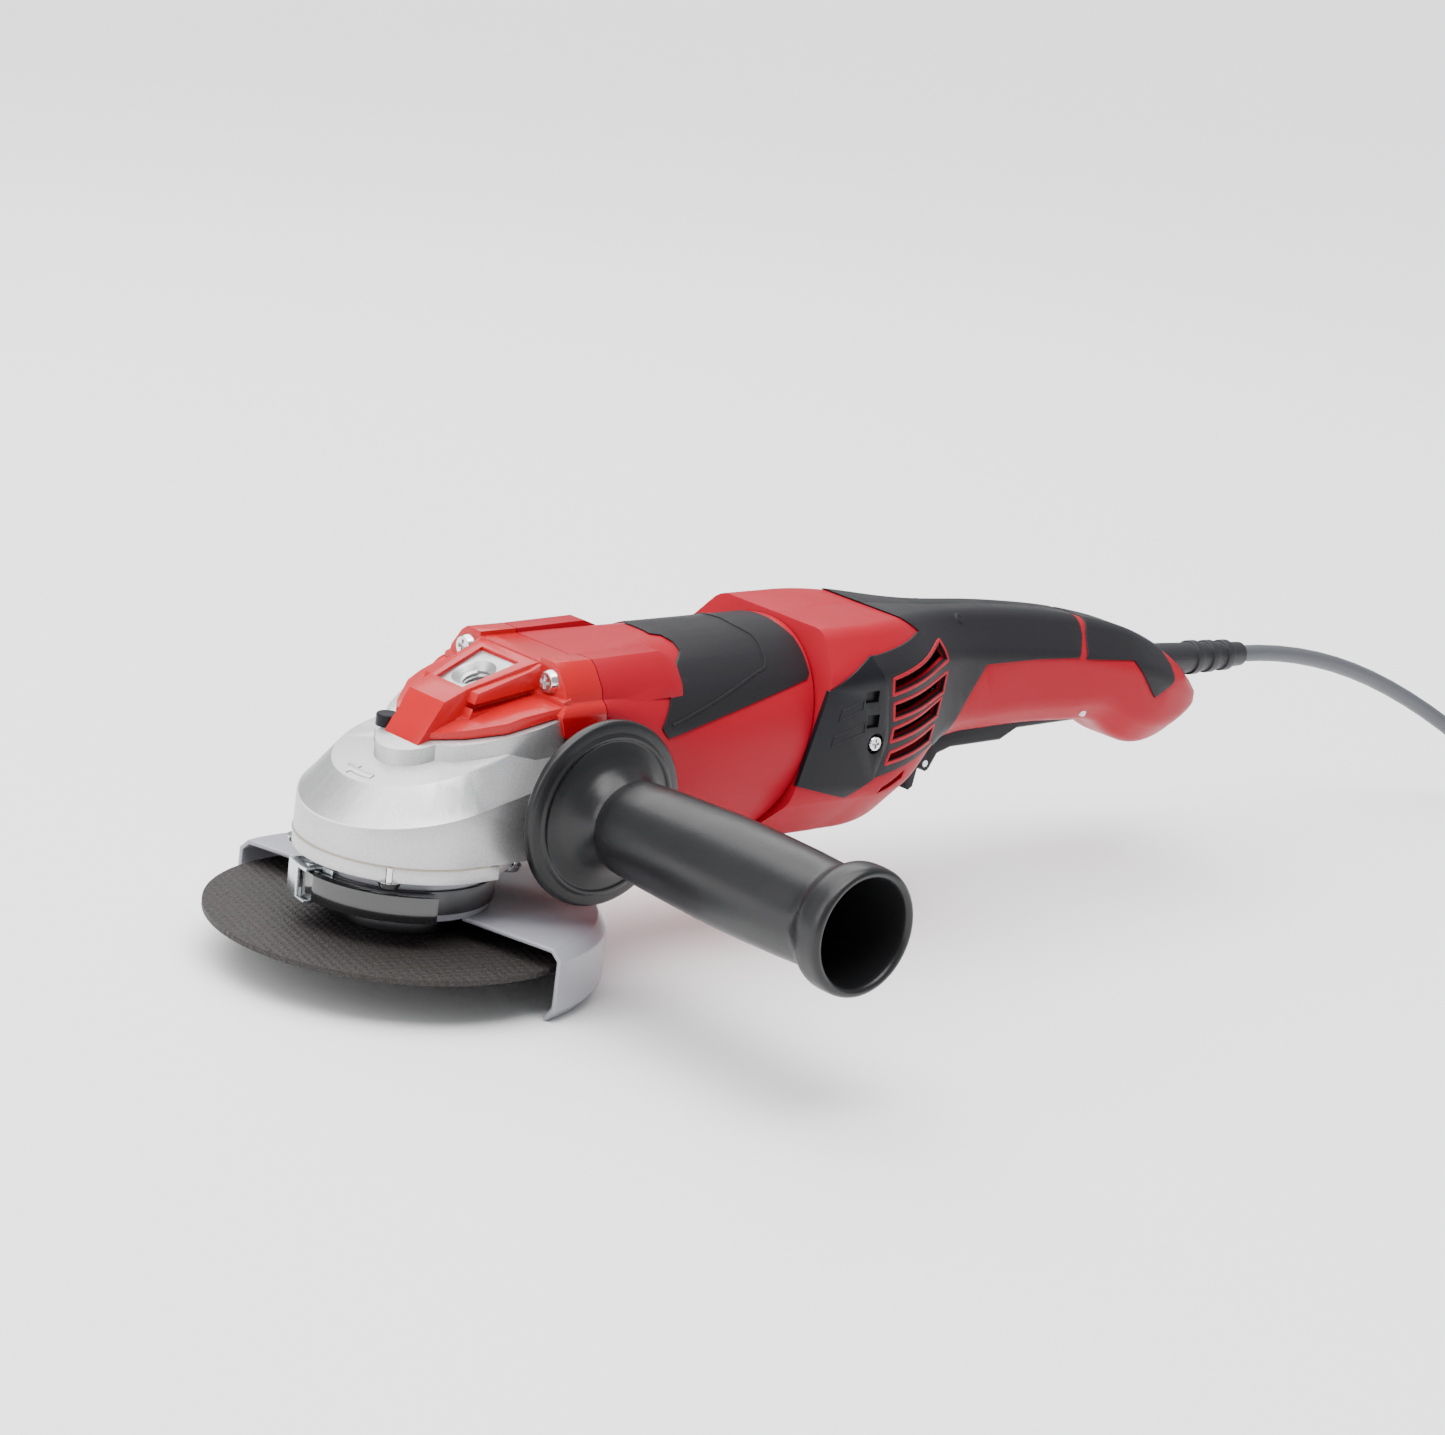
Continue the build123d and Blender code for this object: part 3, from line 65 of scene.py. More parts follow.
def noise(tree, vector, scale, detail=2.0, rough=0.5):
    node = tree.nodes.new("ShaderNodeTexNoise")
    node.inputs["Scale"].default_value = scale
    node.inputs["Detail"].default_value = detail
    node.inputs["Roughness"].default_value = rough
    link(tree, vector, node.inputs["Vector"])
    return node.outputs["Fac"]


def remap(tree, value, low, high, from_low=0.0, from_high=1.0):
    node = tree.nodes.new("ShaderNodeMapRange")
    node.inputs["From Min"].default_value = from_low
    node.inputs["From Max"].default_value = from_high
    node.inputs["To Min"].default_value = low
    node.inputs["To Max"].default_value = high
    link(tree, value, node.inputs["Value"])
    return node.outputs["Result"]


def mix_color(tree, factor, a, b):
    node = tree.nodes.new("ShaderNodeMix")
    node.data_type = "RGBA"
    link(tree, factor, node.inputs["Factor"])
    node.inputs["A"].default_value = (*a, 1)
    node.inputs["B"].default_value = (*b, 1)
    return node.outputs["Result"]


def bump(tree, height, strength, distance, normal=None):
    node = tree.nodes.new("ShaderNodeBump")
    node.inputs["Strength"].default_value = strength
    node.inputs["Distance"].default_value = distance
    link(tree, height, node.inputs["Height"])
    if normal is not None:
        link(tree, normal, node.inputs["Normal"])
    return node.outputs["Normal"]


def moulded(name, color, rough, grain, grain_scale, specular=0.5, coat=0.0, spread=0.06):
    """Plastic, rubber or paint: even colour, slightly uneven gloss and a fine grain."""
    material, tree, shader = new_material(name)
    at = coords(tree)
    cloud = noise(tree, at, 26, 3)
    darker = tuple(c * 0.93 for c in color)
    link(tree, mix_color(tree, cloud, darker, color), shader.inputs["Base Color"])
    gloss = remap(tree, noise(tree, at, 90, 4), rough - spread, rough + spread)
    link(tree, gloss, shader.inputs["Roughness"])
    shader.inputs["Specular IOR Level"].default_value = specular
    shader.inputs["Coat Weight"].default_value = coat
    shader.inputs["Coat Roughness"].default_value = 0.12
    link(tree, bump(tree, noise(tree, at, grain_scale, 2), grain, GRAIN_DEPTH), shader.inputs["Normal"])
    return material


def metal(name, color, rough, grain=0.1, grain_scale=1500, streak=None, spread=0.08):
    """Bare or plated metal; streak stretches the grain along the directions with small numbers."""
    material, tree, shader = new_material(name)
    at = coords(tree)
    shader.inputs["Metallic"].default_value = 1.0
    cloud = noise(tree, at, 40, 4)
    darker = tuple(c * 0.88 for c in color)
    link(tree, mix_color(tree, cloud, darker, color), shader.inputs["Base Color"])
    gloss = remap(tree, noise(tree, at, 140, 4), rough - spread, rough + spread)
    link(tree, gloss, shader.inputs["Roughness"])
    vector = coords(tree, streak) if streak else at
    link(tree, bump(tree, noise(tree, vector, grain_scale, 3), grain, GRAIN_DEPTH), shader.inputs["Normal"])
    return material


def cast_aluminium():
    """Sand-cast, tumbled aluminium: bright, with a fine even grain."""
    material, tree, shader = new_material("cast_aluminium")
    at = coords(tree)
    shader.inputs["Metallic"].default_value = 0.85
    grain = noise(tree, at, 2600, 2, 0.6)
    colour = mix_color(tree, remap(tree, grain, 0, 1, 0.3, 0.7), (0.44, 0.44, 0.45), (0.62, 0.62, 0.625))
    link(tree, colour, shader.inputs["Base Color"])
    link(tree, remap(tree, grain, 0.34, 0.46), shader.inputs["Roughness"])
    normal = bump(tree, grain, 0.22, 0.00012)
    link(tree, bump(tree, noise(tree, at, 60, 3), 0.08, 0.0008, normal), shader.inputs["Normal"])
    return material


def disc_material():
    """Resin-bonded grit with a woven fibre mesh pressed into both faces."""
    material, tree, shader = new_material("disc_resin")
    at = coords(tree)
    grit = tree.nodes.new("ShaderNodeTexVoronoi")
    grit.inputs["Scale"].default_value = 1400
    link(tree, at, grit.inputs["Vector"])
    speckle = remap(tree, grit.outputs["Distance"], 0, 1, 0.1, 0.7)
    colour = mix_color(tree, speckle, (0.034, 0.027, 0.024), (0.012, 0.010, 0.009))
    link(tree, colour, shader.inputs["Base Color"])
    shader.inputs["Roughness"].default_value = 0.62
    shader.inputs["Specular IOR Level"].default_value = 0.4
    heights = []
    for turn in (14, 104):
        strands = tree.nodes.new("ShaderNodeTexWave")
        strands.wave_type = "BANDS"
        strands.bands_direction = "X"
        strands.inputs["Scale"].default_value = 105
        strands.inputs["Distortion"].default_value = 0.6
        strands.inputs["Detail"].default_value = 1
        link(tree, coords(tree, rotation=(0, 0, math.radians(turn))), strands.inputs["Vector"])
        heights.append(strands.outputs["Fac"])
    both = tree.nodes.new("ShaderNodeMath")
    both.operation = "MULTIPLY"
    link(tree, heights[0], both.inputs[0])
    link(tree, heights[1], both.inputs[1])
    normal = bump(tree, both.outputs["Value"], 0.55, 0.0006)
    link(tree, bump(tree, grit.outputs["Distance"], 0.5, 0.0004, normal), shader.inputs["Normal"])
    return material


M = {
    "red_plastic": moulded("red_plastic", (0.36, 0.006, 0.018), 0.42, 0.10, 900, 0.12),
    "red_gloss_plastic": moulded("red_gloss_plastic", (0.46, 0.006, 0.010), 0.26, 0.03, 700, 0.25, coat=0.1),
    "black_rubber": moulded("black_rubber", (0.014, 0.0135, 0.016), 0.50, 0.28, 1100, 0.18),
    "black_plastic": moulded("black_plastic", (0.008, 0.008, 0.011), 0.38, 0.14, 900, 0.16),
    "handle_plastic": moulded("handle_plastic", (0.010, 0.010, 0.011), 0.32, 0.16, 1000, 0.35),
    "black_coated": moulded("black_coated", (0.006, 0.006, 0.007), 0.10, 0.05, 300, coat=0.8, spread=0.03),
    "cast_aluminium": cast_aluminium(),
    "grey_paint": moulded("grey_paint", (0.30, 0.30, 0.335), 0.30, 0.06, 1500, 0.5, coat=0.2),
    "zinc": metal("zinc", (0.62, 0.66, 0.68), 0.26, 0.06, 500),
    "steel": metal("steel", (0.56, 0.56, 0.57), 0.28),
    "dark_steel": metal("dark_steel", (0.10, 0.10, 0.105), 0.40, 0.15),
    "chrome": metal("chrome", (0.75, 0.75, 0.76), 0.14, 0.03, spread=0.04),
    "disc_resin": disc_material(),
    "gasket_paper": moulded("gasket_paper", (0.40, 0.36, 0.28), 0.8, 0.2, 1500, 0.3),
    "laminations": metal("laminations", (0.25, 0.25, 0.26), 0.45, 0.5, 2200, (60, 1, 1)),
    "copper": metal("copper", (0.72, 0.30, 0.12), 0.3, 0.3, 900, (1, 30, 30)),
    "brush_brass": metal("brush_brass", (0.75, 0.55, 0.22), 0.3),
    "carbon": moulded("carbon", (0.02, 0.02, 0.022), 0.6, 0.2, 1500, 0.3),
    "cord_grey": moulded("cord_grey", (0.085, 0.088, 0.100), 0.46, 0.15, 900, 0.45),
    "boot_rubber": moulded("boot_rubber", (0.020, 0.020, 0.023), 0.45, 0.15, 900, 0.3),
}


# ------------------------------------------------------------------ dressing CAD nodes
def clear_import_shading(mesh):
    mesh.shade_smooth()
    for name in ("custom_normal", "sharp_edge", "sharp_face"):
        attribute = mesh.attributes.get(name)
        if attribute is not None:
            mesh.attributes.remove(attribute)


def smooth_by_angle(obj, degrees):
    """Marks edges steeper than the angle as sharp, after the other modifiers."""
    group = bpy.data.node_groups.get("sharp_by_angle") or sharp_group()
    modifier = obj.modifiers.new("sharp", "NODES")
    modifier.node_group = group
    for item in group.interface.items_tree:
        if getattr(item, "in_out", None) == "INPUT" and item.name == "Angle":
            modifier[item.identifier] = math.radians(degrees)


def sharp_group():
    group = bpy.data.node_groups.new("sharp_by_angle", "GeometryNodeTree")
    group.interface.new_socket("Geometry", in_out="INPUT", socket_type="NodeSocketGeometry")
    group.interface.new_socket("Angle", in_out="INPUT", socket_type="NodeSocketFloat")
    group.interface.new_socket("Geometry", in_out="OUTPUT", socket_type="NodeSocketGeometry")
    source = group.nodes.new("NodeGroupInput")
    out = group.nodes.new("NodeGroupOutput")
    edge = group.nodes.new("GeometryNodeInputMeshEdgeAngle")
    more = group.nodes.new("FunctionNodeCompare")
    more.data_type = "FLOAT"
    more.operation = "GREATER_THAN"
    face = group.nodes.new("GeometryNodeSetShadeSmooth")
    face.domain = "EDGE"
    invert = group.nodes.new("FunctionNodeBooleanMath")
    invert.operation = "NOT"
    smooth = group.nodes.new("GeometryNodeSetShadeSmooth")
    smooth.domain = "FACE"
    link(group, source.outputs["Geometry"], smooth.inputs["Geometry"])
    link(group, smooth.outputs["Geometry"], face.inputs["Geometry"])
    link(group, edge.outputs["Unsigned Angle"], more.inputs["A"])
    link(group, source.outputs["Angle"], more.inputs["B"])
    link(group, more.outputs["Result"], invert.inputs[0])
    link(group, invert.outputs["Boolean"], face.inputs["Shade Smooth"])
    link(group, face.outputs["Geometry"], out.inputs["Geometry"])
    return group


def dress(node, material, bevel):
    """Gives a CAD node its material, welded shading and softened edges."""
    obj = NODES[node]
    clear_import_shading(obj.data)
    obj.data.materials.clear()
    obj.data.materials.append(M[material])
    weld = obj.modifiers.new("weld", "WELD")
    weld.merge_threshold = 2e-6
    if bevel:
        clean = obj.modifiers.new("clean", "DECIMATE")
        clean.decimate_type = "DISSOLVE"
        clean.angle_limit = math.radians(0.6)
        soften = obj.modifiers.new("soften", "BEVEL")
        soften.width = bevel * MM
        soften.segments = 3
        soften.limit_method = "ANGLE"
        soften.angle_limit = math.radians(30)
        soften.use_clamp_overlap = True
        soften.harden_normals = False
    smooth_by_angle(obj, 32)


# node: material, width of its softened edges in millimetres
FINISH = {
    "gear_case": ("cast_aluminium", 0.8), "gear_gasket": ("gasket_paper", 0),
    "bearing_cover": ("cast_aluminium", 0.5), "cover_screws": ("chrome", 0.15),
    "head_cap": ("red_gloss_plastic", 0.6), "head_cap_screws": ("chrome", 0.2),
    "spindle_bearing": ("steel", 0), "needle_bush": ("steel", 0), "spindle": ("steel", 0),
    "bevel_gear": ("dark_steel", 0), "inner_flange": ("dark_steel", 0.3), "cutting_disc": ("disc_resin", 0),
    "lock_nut": ("dark_steel", 0.4), "guard_shield": ("grey_paint", 0.5),
    "guard_collar": ("grey_paint", 0.2), "clamp_band": ("dark_steel", 0.2), "clamp_clip": ("zinc", 0.3),
    "clamp_lever": ("black_coated", 1.2), "lock_button": ("black_plastic", 0), "lock_spring": ("steel", 0),
    "side_handle": ("handle_plastic", 0.6), "handle_stud": ("zinc", 0),
    "motor_housing": ("red_plastic", 0.4), "housing_pad": ("black_rubber", 0.4),
    "stator_core": ("laminations", 0), "stator_coils": ("copper", 0.8), "armature_shaft": ("steel", 0),
    "armature_core": ("laminations", 0), "armature_windings": ("copper", 0.5), "commutator": ("copper", 0),
    "fan": ("black_plastic", 0), "bevel_pinion": ("dark_steel", 0), "front_motor_bearing": ("steel", 0),
    "rear_motor_bearing": ("steel", 0), "air_baffle": ("black_plastic", 0),
    "brush_holders": ("black_plastic", 0), "carbon_brushes": ("carbon", 0),
    "brush_springs": ("brush_brass", 0), "brush_cover_left": ("black_plastic", 0.35),
    "brush_cover_right": ("black_plastic", 0.35), "brush_cover_screws": ("chrome", 0.15),
    "rear_housing_left": ("red_plastic", 0.4), "rear_housing_right": ("red_plastic", 0.4),
    "grip_sleeve_left": ("black_rubber", 0.35), "grip_sleeve_right": ("black_rubber", 0.35),
    "tail_pad_left": ("black_rubber", 0.35), "tail_pad_right": ("black_rubber", 0.35),
    "switch_block": ("black_plastic", 0), "paddle_switch": ("black_plastic", 0.3),
    "paddle_pin": ("steel", 0), "lock_off_lever": ("black_plastic", 0.3), "lock_off_pin": ("zinc", 0),
    "speed_module": ("black_plastic", 0), "speed_dial": ("black_plastic", 0.2),
    "cord_clamp": ("black_plastic", 0), "strain_relief": ("boot_rubber", 0.4),
    "plug": ("black_plastic", 1.0),
}
for node, (material, bevel) in FINISH.items():
    dress(node, material, bevel)


# ------------------------------------------------------------------ hand-built pieces
def add_mesh(name, vertices, faces, material, body, slot=None, smooth=35, replaces=()):
    """A new piece from points in millimetres, riding on a CAD body."""
    mesh = bpy.data.meshes.new(name)
    mesh.from_pydata([tuple(c * MM for c in v) for v in vertices], [], faces)
    mesh.validate()
    cleaned = bmesh.new()
    cleaned.from_mesh(mesh)
    bmesh.ops.recalc_face_normals(cleaned, faces=cleaned.faces)
    cleaned.to_mesh(mesh)
    cleaned.free()
    mesh.shade_smooth()
    obj = bpy.data.objects.new(name, mesh)
    bpy.context.scene.collection.objects.link(obj)
    mesh.materials.append(M[material])
    smooth_by_angle(obj, smooth)
    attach(obj, body)
    if replaces:
        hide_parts(*replaces)
    return obj


def lathe_points(profile, place, segments=128):
    """Turns a closed (radius, distance) profile round the axis that place() gives."""
    vertices, faces, rows = [], [], len(profile)
    for step in range(segments):
        angle = 2 * math.pi * step / segments
        for radius, distance in profile:
            vertices.append(place(radius * math.cos(angle), radius * math.sin(angle), distance))
    for step in range(segments):
        following = (step + 1) % segments
        for row in range(rows):
            after = (row + 1) % rows
            here, there = step * rows, following * rows
            faces.append((here + row, here + after, there + after, there + row))
    return vertices, faces


def rounded(profile, radii, steps):
    """A closed profile with its corners rounded; radii has one entry per point."""
    out, count = [], len(profile)
    for n, (point, radius) in enumerate(zip(profile, radii)):
        before, after = Vector(profile[n - 1]), Vector(profile[(n + 1) % count])
        corner = Vector(point)
        if radius <= 0:
            out.append(tuple(corner))
            continue
        a, b = (before - corner), (after - corner)
        reach = min(radius, a.length * 0.49, b.length * 0.49)
        start, end = corner + a.normalized() * reach, corner + b.normalized() * reach
        for k in range(steps + 1):
            t = k / steps
            out.append(tuple((1 - t) ** 2 * start + 2 * t * (1 - t) * corner + t * t * end))
    return out


def surface_tree(*nodes):
    """Ray target from the shown shape of CAD nodes, in millimetres."""
    vertices, faces = [], []
    for node in nodes:
        mesh = NODES[node].data
        base = len(vertices)
        vertices += [v.co / MM for v in mesh.vertices]
        faces += [tuple(base + i for i in p.vertices) for p in mesh.polygons]
    return BVHTree.FromPolygons(vertices, faces)


def smooth_path(points, step):
    """Evenly spaced points along a Catmull-Rom curve through (u, v) points."""
    source = [Vector(p) for p in points]
    last = len(source) - 1
    out = []
    for n in range(last):
        p0, p1, p2, p3 = (source[max(0, min(last, n + k))] for k in (-1, 0, 1, 2))
        pieces = max(2, int((p2 - p1).length / step))
        for k in range(pieces):
            t = k / pieces
            out.append(0.5 * ((2 * p1) + (-p0 + p2) * t + (2 * p0 - 5 * p1 + 4 * p2 - p3) * t * t
                              + (-p0 + 3 * p1 - 3 * p2 + p3) * t ** 3))
    out.append(source[-1])
    return out


def ribbon(name, tree, rays, width, height, material, body, closed=False):
    """A low rounded bead laid on a surface along the points where rays meet it."""
    hits = []
    for origin, direction in rays:
        place, normal, _, _ = tree.ray_cast(Vector(origin), Vector(direction))
        if place is None:
            continue
        if normal.dot(Vector(direction)) > 0:
            normal = -normal
        hits.append((place, normal))
    if len(hits) < 3:
        print("no surface for", name)
        return
    # even out the normals, so that the bead doesn't flicker between facets
    normals = []
    for n in range(len(hits)):
        window = hits[max(0, n - 2):n + 3]
        normals.append(sum((h[1] for h in window), Vector()).normalized())
    sink = -0.4
    profile = [(-0.5, sink), (-0.5, 0.0), (-0.3, height), (0.3, height), (0.5, 0.0), (0.5, sink)]
    vertices, faces, rows = [], [], len(profile)
    for n, ((place, _), normal) in enumerate(zip(hits, normals)):
        before = hits[n - 1][0] if n or closed else place
        after = hits[(n + 1) % len(hits)][0] if n < len(hits) - 1 or closed else place
        side = (after - before).cross(normal)
        side = side.normalized() if side.length > 1e-6 else Vector((0, 0, 1))
        for across, high in profile:
            vertices.append(place + side * across * width + normal * high)
    spans = len(hits) if closed else len(hits) - 1
    for n in range(spans):
        following = (n + 1) % len(hits)
        for row in range(rows):
            after = (row + 1) % rows
            here, there = n * rows, following * rows
            faces.append((here + row, here + after, there + after, there + row))
    if not closed:
        faces.append(tuple(range(rows)))
        faces.append(tuple(reversed(range((len(hits) - 1) * rows, len(hits) * rows))))
    add_mesh(name, vertices, faces, material, body)


OUTSIDE = 120
SIDES = ((1, "left"), (-1, "right"))


def side_rays(points, side):
    """Rays towards the machine's middle plane at (x, z) points, from the left (+1) or the right (-1)."""
    return [((x, side * OUTSIDE, z), (0, -side, 0)) for x, z in points]


# ------------------------------------------------------------------ side handle
HANDLE_X, HANDLE_Z = 41.5, 54.7
# (radius, distance from the middle plane): hand flange, grip, end bead, hollow
HANDLE_PROFILE = [
    (5.2, 43.4), (13.0, 43.4), (14.0, 44.2), (27.6, 44.2), (28.4, 43.4), (30.0, 43.5), (30.8, 44.4),
    (30.8, 46.6), (30.0, 47.5), (28.2, 47.9), (26.8, 48.1), (26.2, 48.7), (25.2, 48.7), (24.6, 48.2),
    (20.5, 49.6), (17.4, 51.8), (15.2, 54.6), (13.9, 57.0), (13.5, 58.6), (14.3, 59.4), (15.2, 60.3),
    (15.7, 64.0), (16.4, 75.0), (17.0, 90.0), (17.5, 103.0), (17.6, 112.0), (17.5, 124.0), (17.2, 138.0),
    (16.7, 149.0), (16.6, 152.5), (17.2, 155.0), (18.9, 156.9), (20.1, 158.6), (20.5, 161.0), (20.5, 165.5),
    (20.2, 167.2), (19.3, 168.2), (18.2, 168.2), (17.3, 167.4), (16.9, 165.8), (16.6, 160.0),
    (15.4, 136.5), (14.6, 135.2), (5.2, 135.2),
]
handle_profile = rounded(HANDLE_PROFILE, [0] + [1.2] * (len(HANDLE_PROFILE) - 2) + [0], 3)
handle_shape = lathe_points(handle_profile, lambda a, b, d: (HANDLE_X + a, -d, HANDLE_Z + b), 160)
add_mesh("side_handle_turned", *handle_shape, "handle_plastic", "housing", slot="black_plastic", smooth=40,
         replaces=["side_handle"])

# ------------------------------------------------------------------ beads and marks on the pads
MOTOR_Z, PAD_OUTER_R = 63, 37.5
# (x, height) of the line pressed into each side of the pad
PAD_LINE = [(127.3, 97.7), (126.3, 94.5), (123.9, 90.8), (119, 89.3), (100.2, 83.6), (85.7, 79.5), (76.7, 77.2)]
PAD_LINE_TOP = [(124.6, 89.9), (124.6, 80)]
pad_tree = surface_tree("housing_pad")


def axis_rays(points, side, axis_z):
    """Rays from outside towards the body's axis, for points given as (x, degrees above the side)."""
    rays = []
    for x, degrees in points:
        turn = math.radians(degrees)
        out = Vector((0, side * math.cos(turn), math.sin(turn)))
        rays.append((Vector((x, 0, axis_z)) + out * OUTSIDE, -out))
    return rays


pad_path = PAD_LINE_TOP + [(x, math.degrees(math.asin((z - MOTOR_Z) / PAD_OUTER_R))) for x, z in PAD_LINE]
pad_path = smooth_path(pad_path, 0.6)
for side, name in SIDES:
    rays = axis_rays(pad_path, side, MOTOR_Z)
    ribbon(f"pad_bead_{name}", pad_tree, rays, 1.1, 0.35, "black_rubber", "housing")


# ------------------------------------------------------------------ rear housing trim
# (x, height) outlines on either side: vents through the sleeve, windows and bars of the brush cover
VENTS = [
    [(173.5, 81), (209.6, 86.5), (208.6, 91.6), (173, 85.3)],
    [(175.6, 72), (208.8, 75.3), (209.7, 81), (174.8, 76.4)],
    [(175.6, 64.2), (206, 67.2), (207.5, 72.2), (176, 67.4)],
    [(174.7, 56.5), (202.2, 59.1), (203.9, 63), (175.7, 59)],
]
WINDOWS = [
    [(160, 78.5), (166, 78.5), (166, 82.5), (160, 82.5)],
    [(162, 69.5), (167.5, 69.5), (167.5, 74), (162, 74)],
]
COVER_BARS = [
    [(148.5, 73.2), (159.2, 76.4), (159.2, 79.8), (149.6, 76.9)],
    [(146.5, 64.4), (161.2, 68.2), (161.2, 71.6), (147.4, 67.9)],
]
DIMPLES = [(228, 96.0), (252, 99.5), (278, 98.5)]
DIMPLE_PROFILE = [(0.0, -0.4), (2.3, -0.4), (2.3, 0.0), (1.9, 0.35), (1.2, 0.5), (0.5, 0.3), (0.0, 0.25)]
sleeve_tree = surface_tree("grip_sleeve_left", "grip_sleeve_right", "tail_pad_left", "tail_pad_right")
cover_tree = surface_tree("brush_cover_left", "brush_cover_right")


def along(points):
    """Points about a millimetre apart round the closed outline through (u, v) points."""
    out, count = [], len(points)
    for n in range(count):
        a, b = Vector(points[n]), Vector(points[(n + 1) % count])
        pieces = max(1, int((b - a).length))
        out += [a.lerp(b, k / pieces) for k in range(pieces)]
    return out


def grown(points, reach):
    """A convex outline with every corner moved outwards."""
    middle = sum((Vector(p) for p in points), Vector((0, 0))) / len(points)
    out = []
    for n, point in enumerate(points):
        a = (Vector(point) - Vector(points[n - 1])).normalized()
        b = (Vector(points[(n + 1) % len(points)]) - Vector(point)).normalized()
        across = (Vector((a.y, -a.x)) + Vector((b.y, -b.x)))
        across = across / max(0.4, 0.5 * across.length_squared)
        if across.dot(Vector(point) - middle) < 0:
            across = -across
        out.append(Vector(point) + across * reach)
    return out


shell_tree = surface_tree("rear_housing_left", "rear_housing_right")


def window_back(name, outline, side):
    """Dark floor of a brush cover window, laid on the housing behind it."""
    outer, inner, count = [], [], len(outline)
    for x, z in outline:
        place = shell_tree.ray_cast(Vector((x, side * OUTSIDE, z)), Vector((0, -side, 0)))[0]
        if place is None:
            print("no surface for", name)
            return
        outer.append((x, place.y + side * 0.2, z))
        inner.append((x, place.y - side * 0.5, z))
    faces = [tuple(range(count)), tuple(range(count, 2 * count))]
    faces += [(n, (n + 1) % count, (n + 1) % count + count, n + count) for n in range(count)]
    add_mesh(name, outer + inner, faces, "black_plastic", "housing", smooth=30)


def grip_dimple(name, x, z, side):
    """Low ring on the sleeve where a ray from the side meets it."""
    place, normal, _, _ = sleeve_tree.ray_cast(Vector((x, side * OUTSIDE, z)), Vector((0, -side, 0)))
    if place is None:
        print("no surface for", name)
        return
    across = normal.orthogonal().normalized()
    third = normal.cross(across)
    shape = lathe_points(DIMPLE_PROFILE, lambda a, b, d: place + across * a + third * b + normal * d, 32)
    add_mesh(name, *shape, "black_rubber", "housing")


for side, name in SIDES:
    for number, vent in enumerate(VENTS, 1):
        rays = side_rays(along(grown(vent, 0.75)), side)
        ribbon(f"vent_rim_{name}_{number}", sleeve_tree, rays, 1.3, 0.25, "red_plastic", "housing", closed=True)
    for number, (x, z) in enumerate(DIMPLES, 1):
        grip_dimple(f"grip_dimple_{name}_{number}", x, z, side)
    for number, window in enumerate(WINDOWS, 1):
        window_back(f"window_back_{name}_{number}", window, side)
    for number, bar in enumerate(COVER_BARS, 1):
        rays = side_rays(along(bar), side)
        ribbon(f"cover_bar_{name}_{number}", cover_tree, rays, 0.7, 0.18, "black_plastic", "housing",
               closed=True)


# ------------------------------------------------------------------ arrow cast into the gear case
ROOF_Z, ROOF_SLOPE = 67.2, 0.30


def roof_plate(name, outline, thickness, material, body):
    """A flat outline of (x, y) plan points laid on the gear case's leaning roof."""
    count = len(outline)
    vertices = [(x, y, ROOF_Z + ROOF_SLOPE * x - 0.3) for x, y in outline]
    vertices += [(x, y, ROOF_Z + ROOF_SLOPE * x + thickness) for x, y in outline]
    faces = [tuple(range(count)), tuple(range(count, 2 * count))]
    faces += [(n, (n + 1) % count, (n + 1) % count + count, n + count) for n in range(count)]
    obj = add_mesh(name, vertices, faces, material, body, smooth=30)
    soften = obj.modifiers.new("soften", "BEVEL")
    soften.width = 0.15 * MM
    soften.segments = 2
    obj.modifiers.move(len(obj.modifiers) - 1, 0)


ARROW_R, ARROW_TAIL, ARROW_NECK, ARROW_TIP = 21.5, 196, 172, 158


def arrow_outline():
    """A bent arrow round the spindle's axis, in plan."""
    def at(radius, degrees):
        return radius * math.cos(math.radians(degrees)), radius * math.sin(math.radians(degrees))

    sweep = [ARROW_TAIL + (ARROW_NECK - ARROW_TAIL) * n / 8 for n in range(9)]
    outer = [at(ARROW_R + 1.2, turn) for turn in sweep]
    inner = [at(ARROW_R - 1.2, turn) for turn in reversed(sweep)]
    head = [at(ARROW_R + 2.8, ARROW_NECK), at(ARROW_R, ARROW_TIP), at(ARROW_R - 2.8, ARROW_NECK)]
    return outer + head + inner


roof_plate("turning_arrow", arrow_outline(), 0.45, "cast_aluminium", "housing")


# ------------------------------------------------------------------ thread in the upper handle hole
THREAD_STEPS = 48
# (outwards, along the axis) corners of one ridge, as shares of a millimetre and of the pitch
RIDGE = ((0.12, -0.434), (-0.75, -0.07), (-0.75, 0.07), (0.12, 0.434))


def thread(name, centre, axis, radius, pitch, turns, material, body):
    """Helical ridge standing inwards from the wall of a threaded hole."""
    axis = Vector(axis).normalized()
    across = axis.orthogonal().normalized()
    third = axis.cross(across)
    steps, vertices, faces = THREAD_STEPS * turns, [], []
    for n in range(steps + 1):
        angle = 2 * math.pi * n / THREAD_STEPS
        out = across * math.cos(angle) + third * math.sin(angle)
        place = Vector(centre) - axis * (pitch * n / THREAD_STEPS)
        for outwards, share in RIDGE:
            vertices.append(place + out * (radius + outwards) + axis * share * pitch)
    for n in range(steps):
        for k in range(3):
            faces.append((n * 4 + k, n * 4 + k + 1, n * 4 + k + 5, n * 4 + k + 4))
        faces.append((n * 4 + 3, n * 4, n * 4 + 4, n * 4 + 7))
    faces.append((0, 1, 2, 3))
    faces.append(tuple(steps * 4 + k for k in (3, 2, 1, 0)))
    add_mesh(name, vertices, faces, material, body)


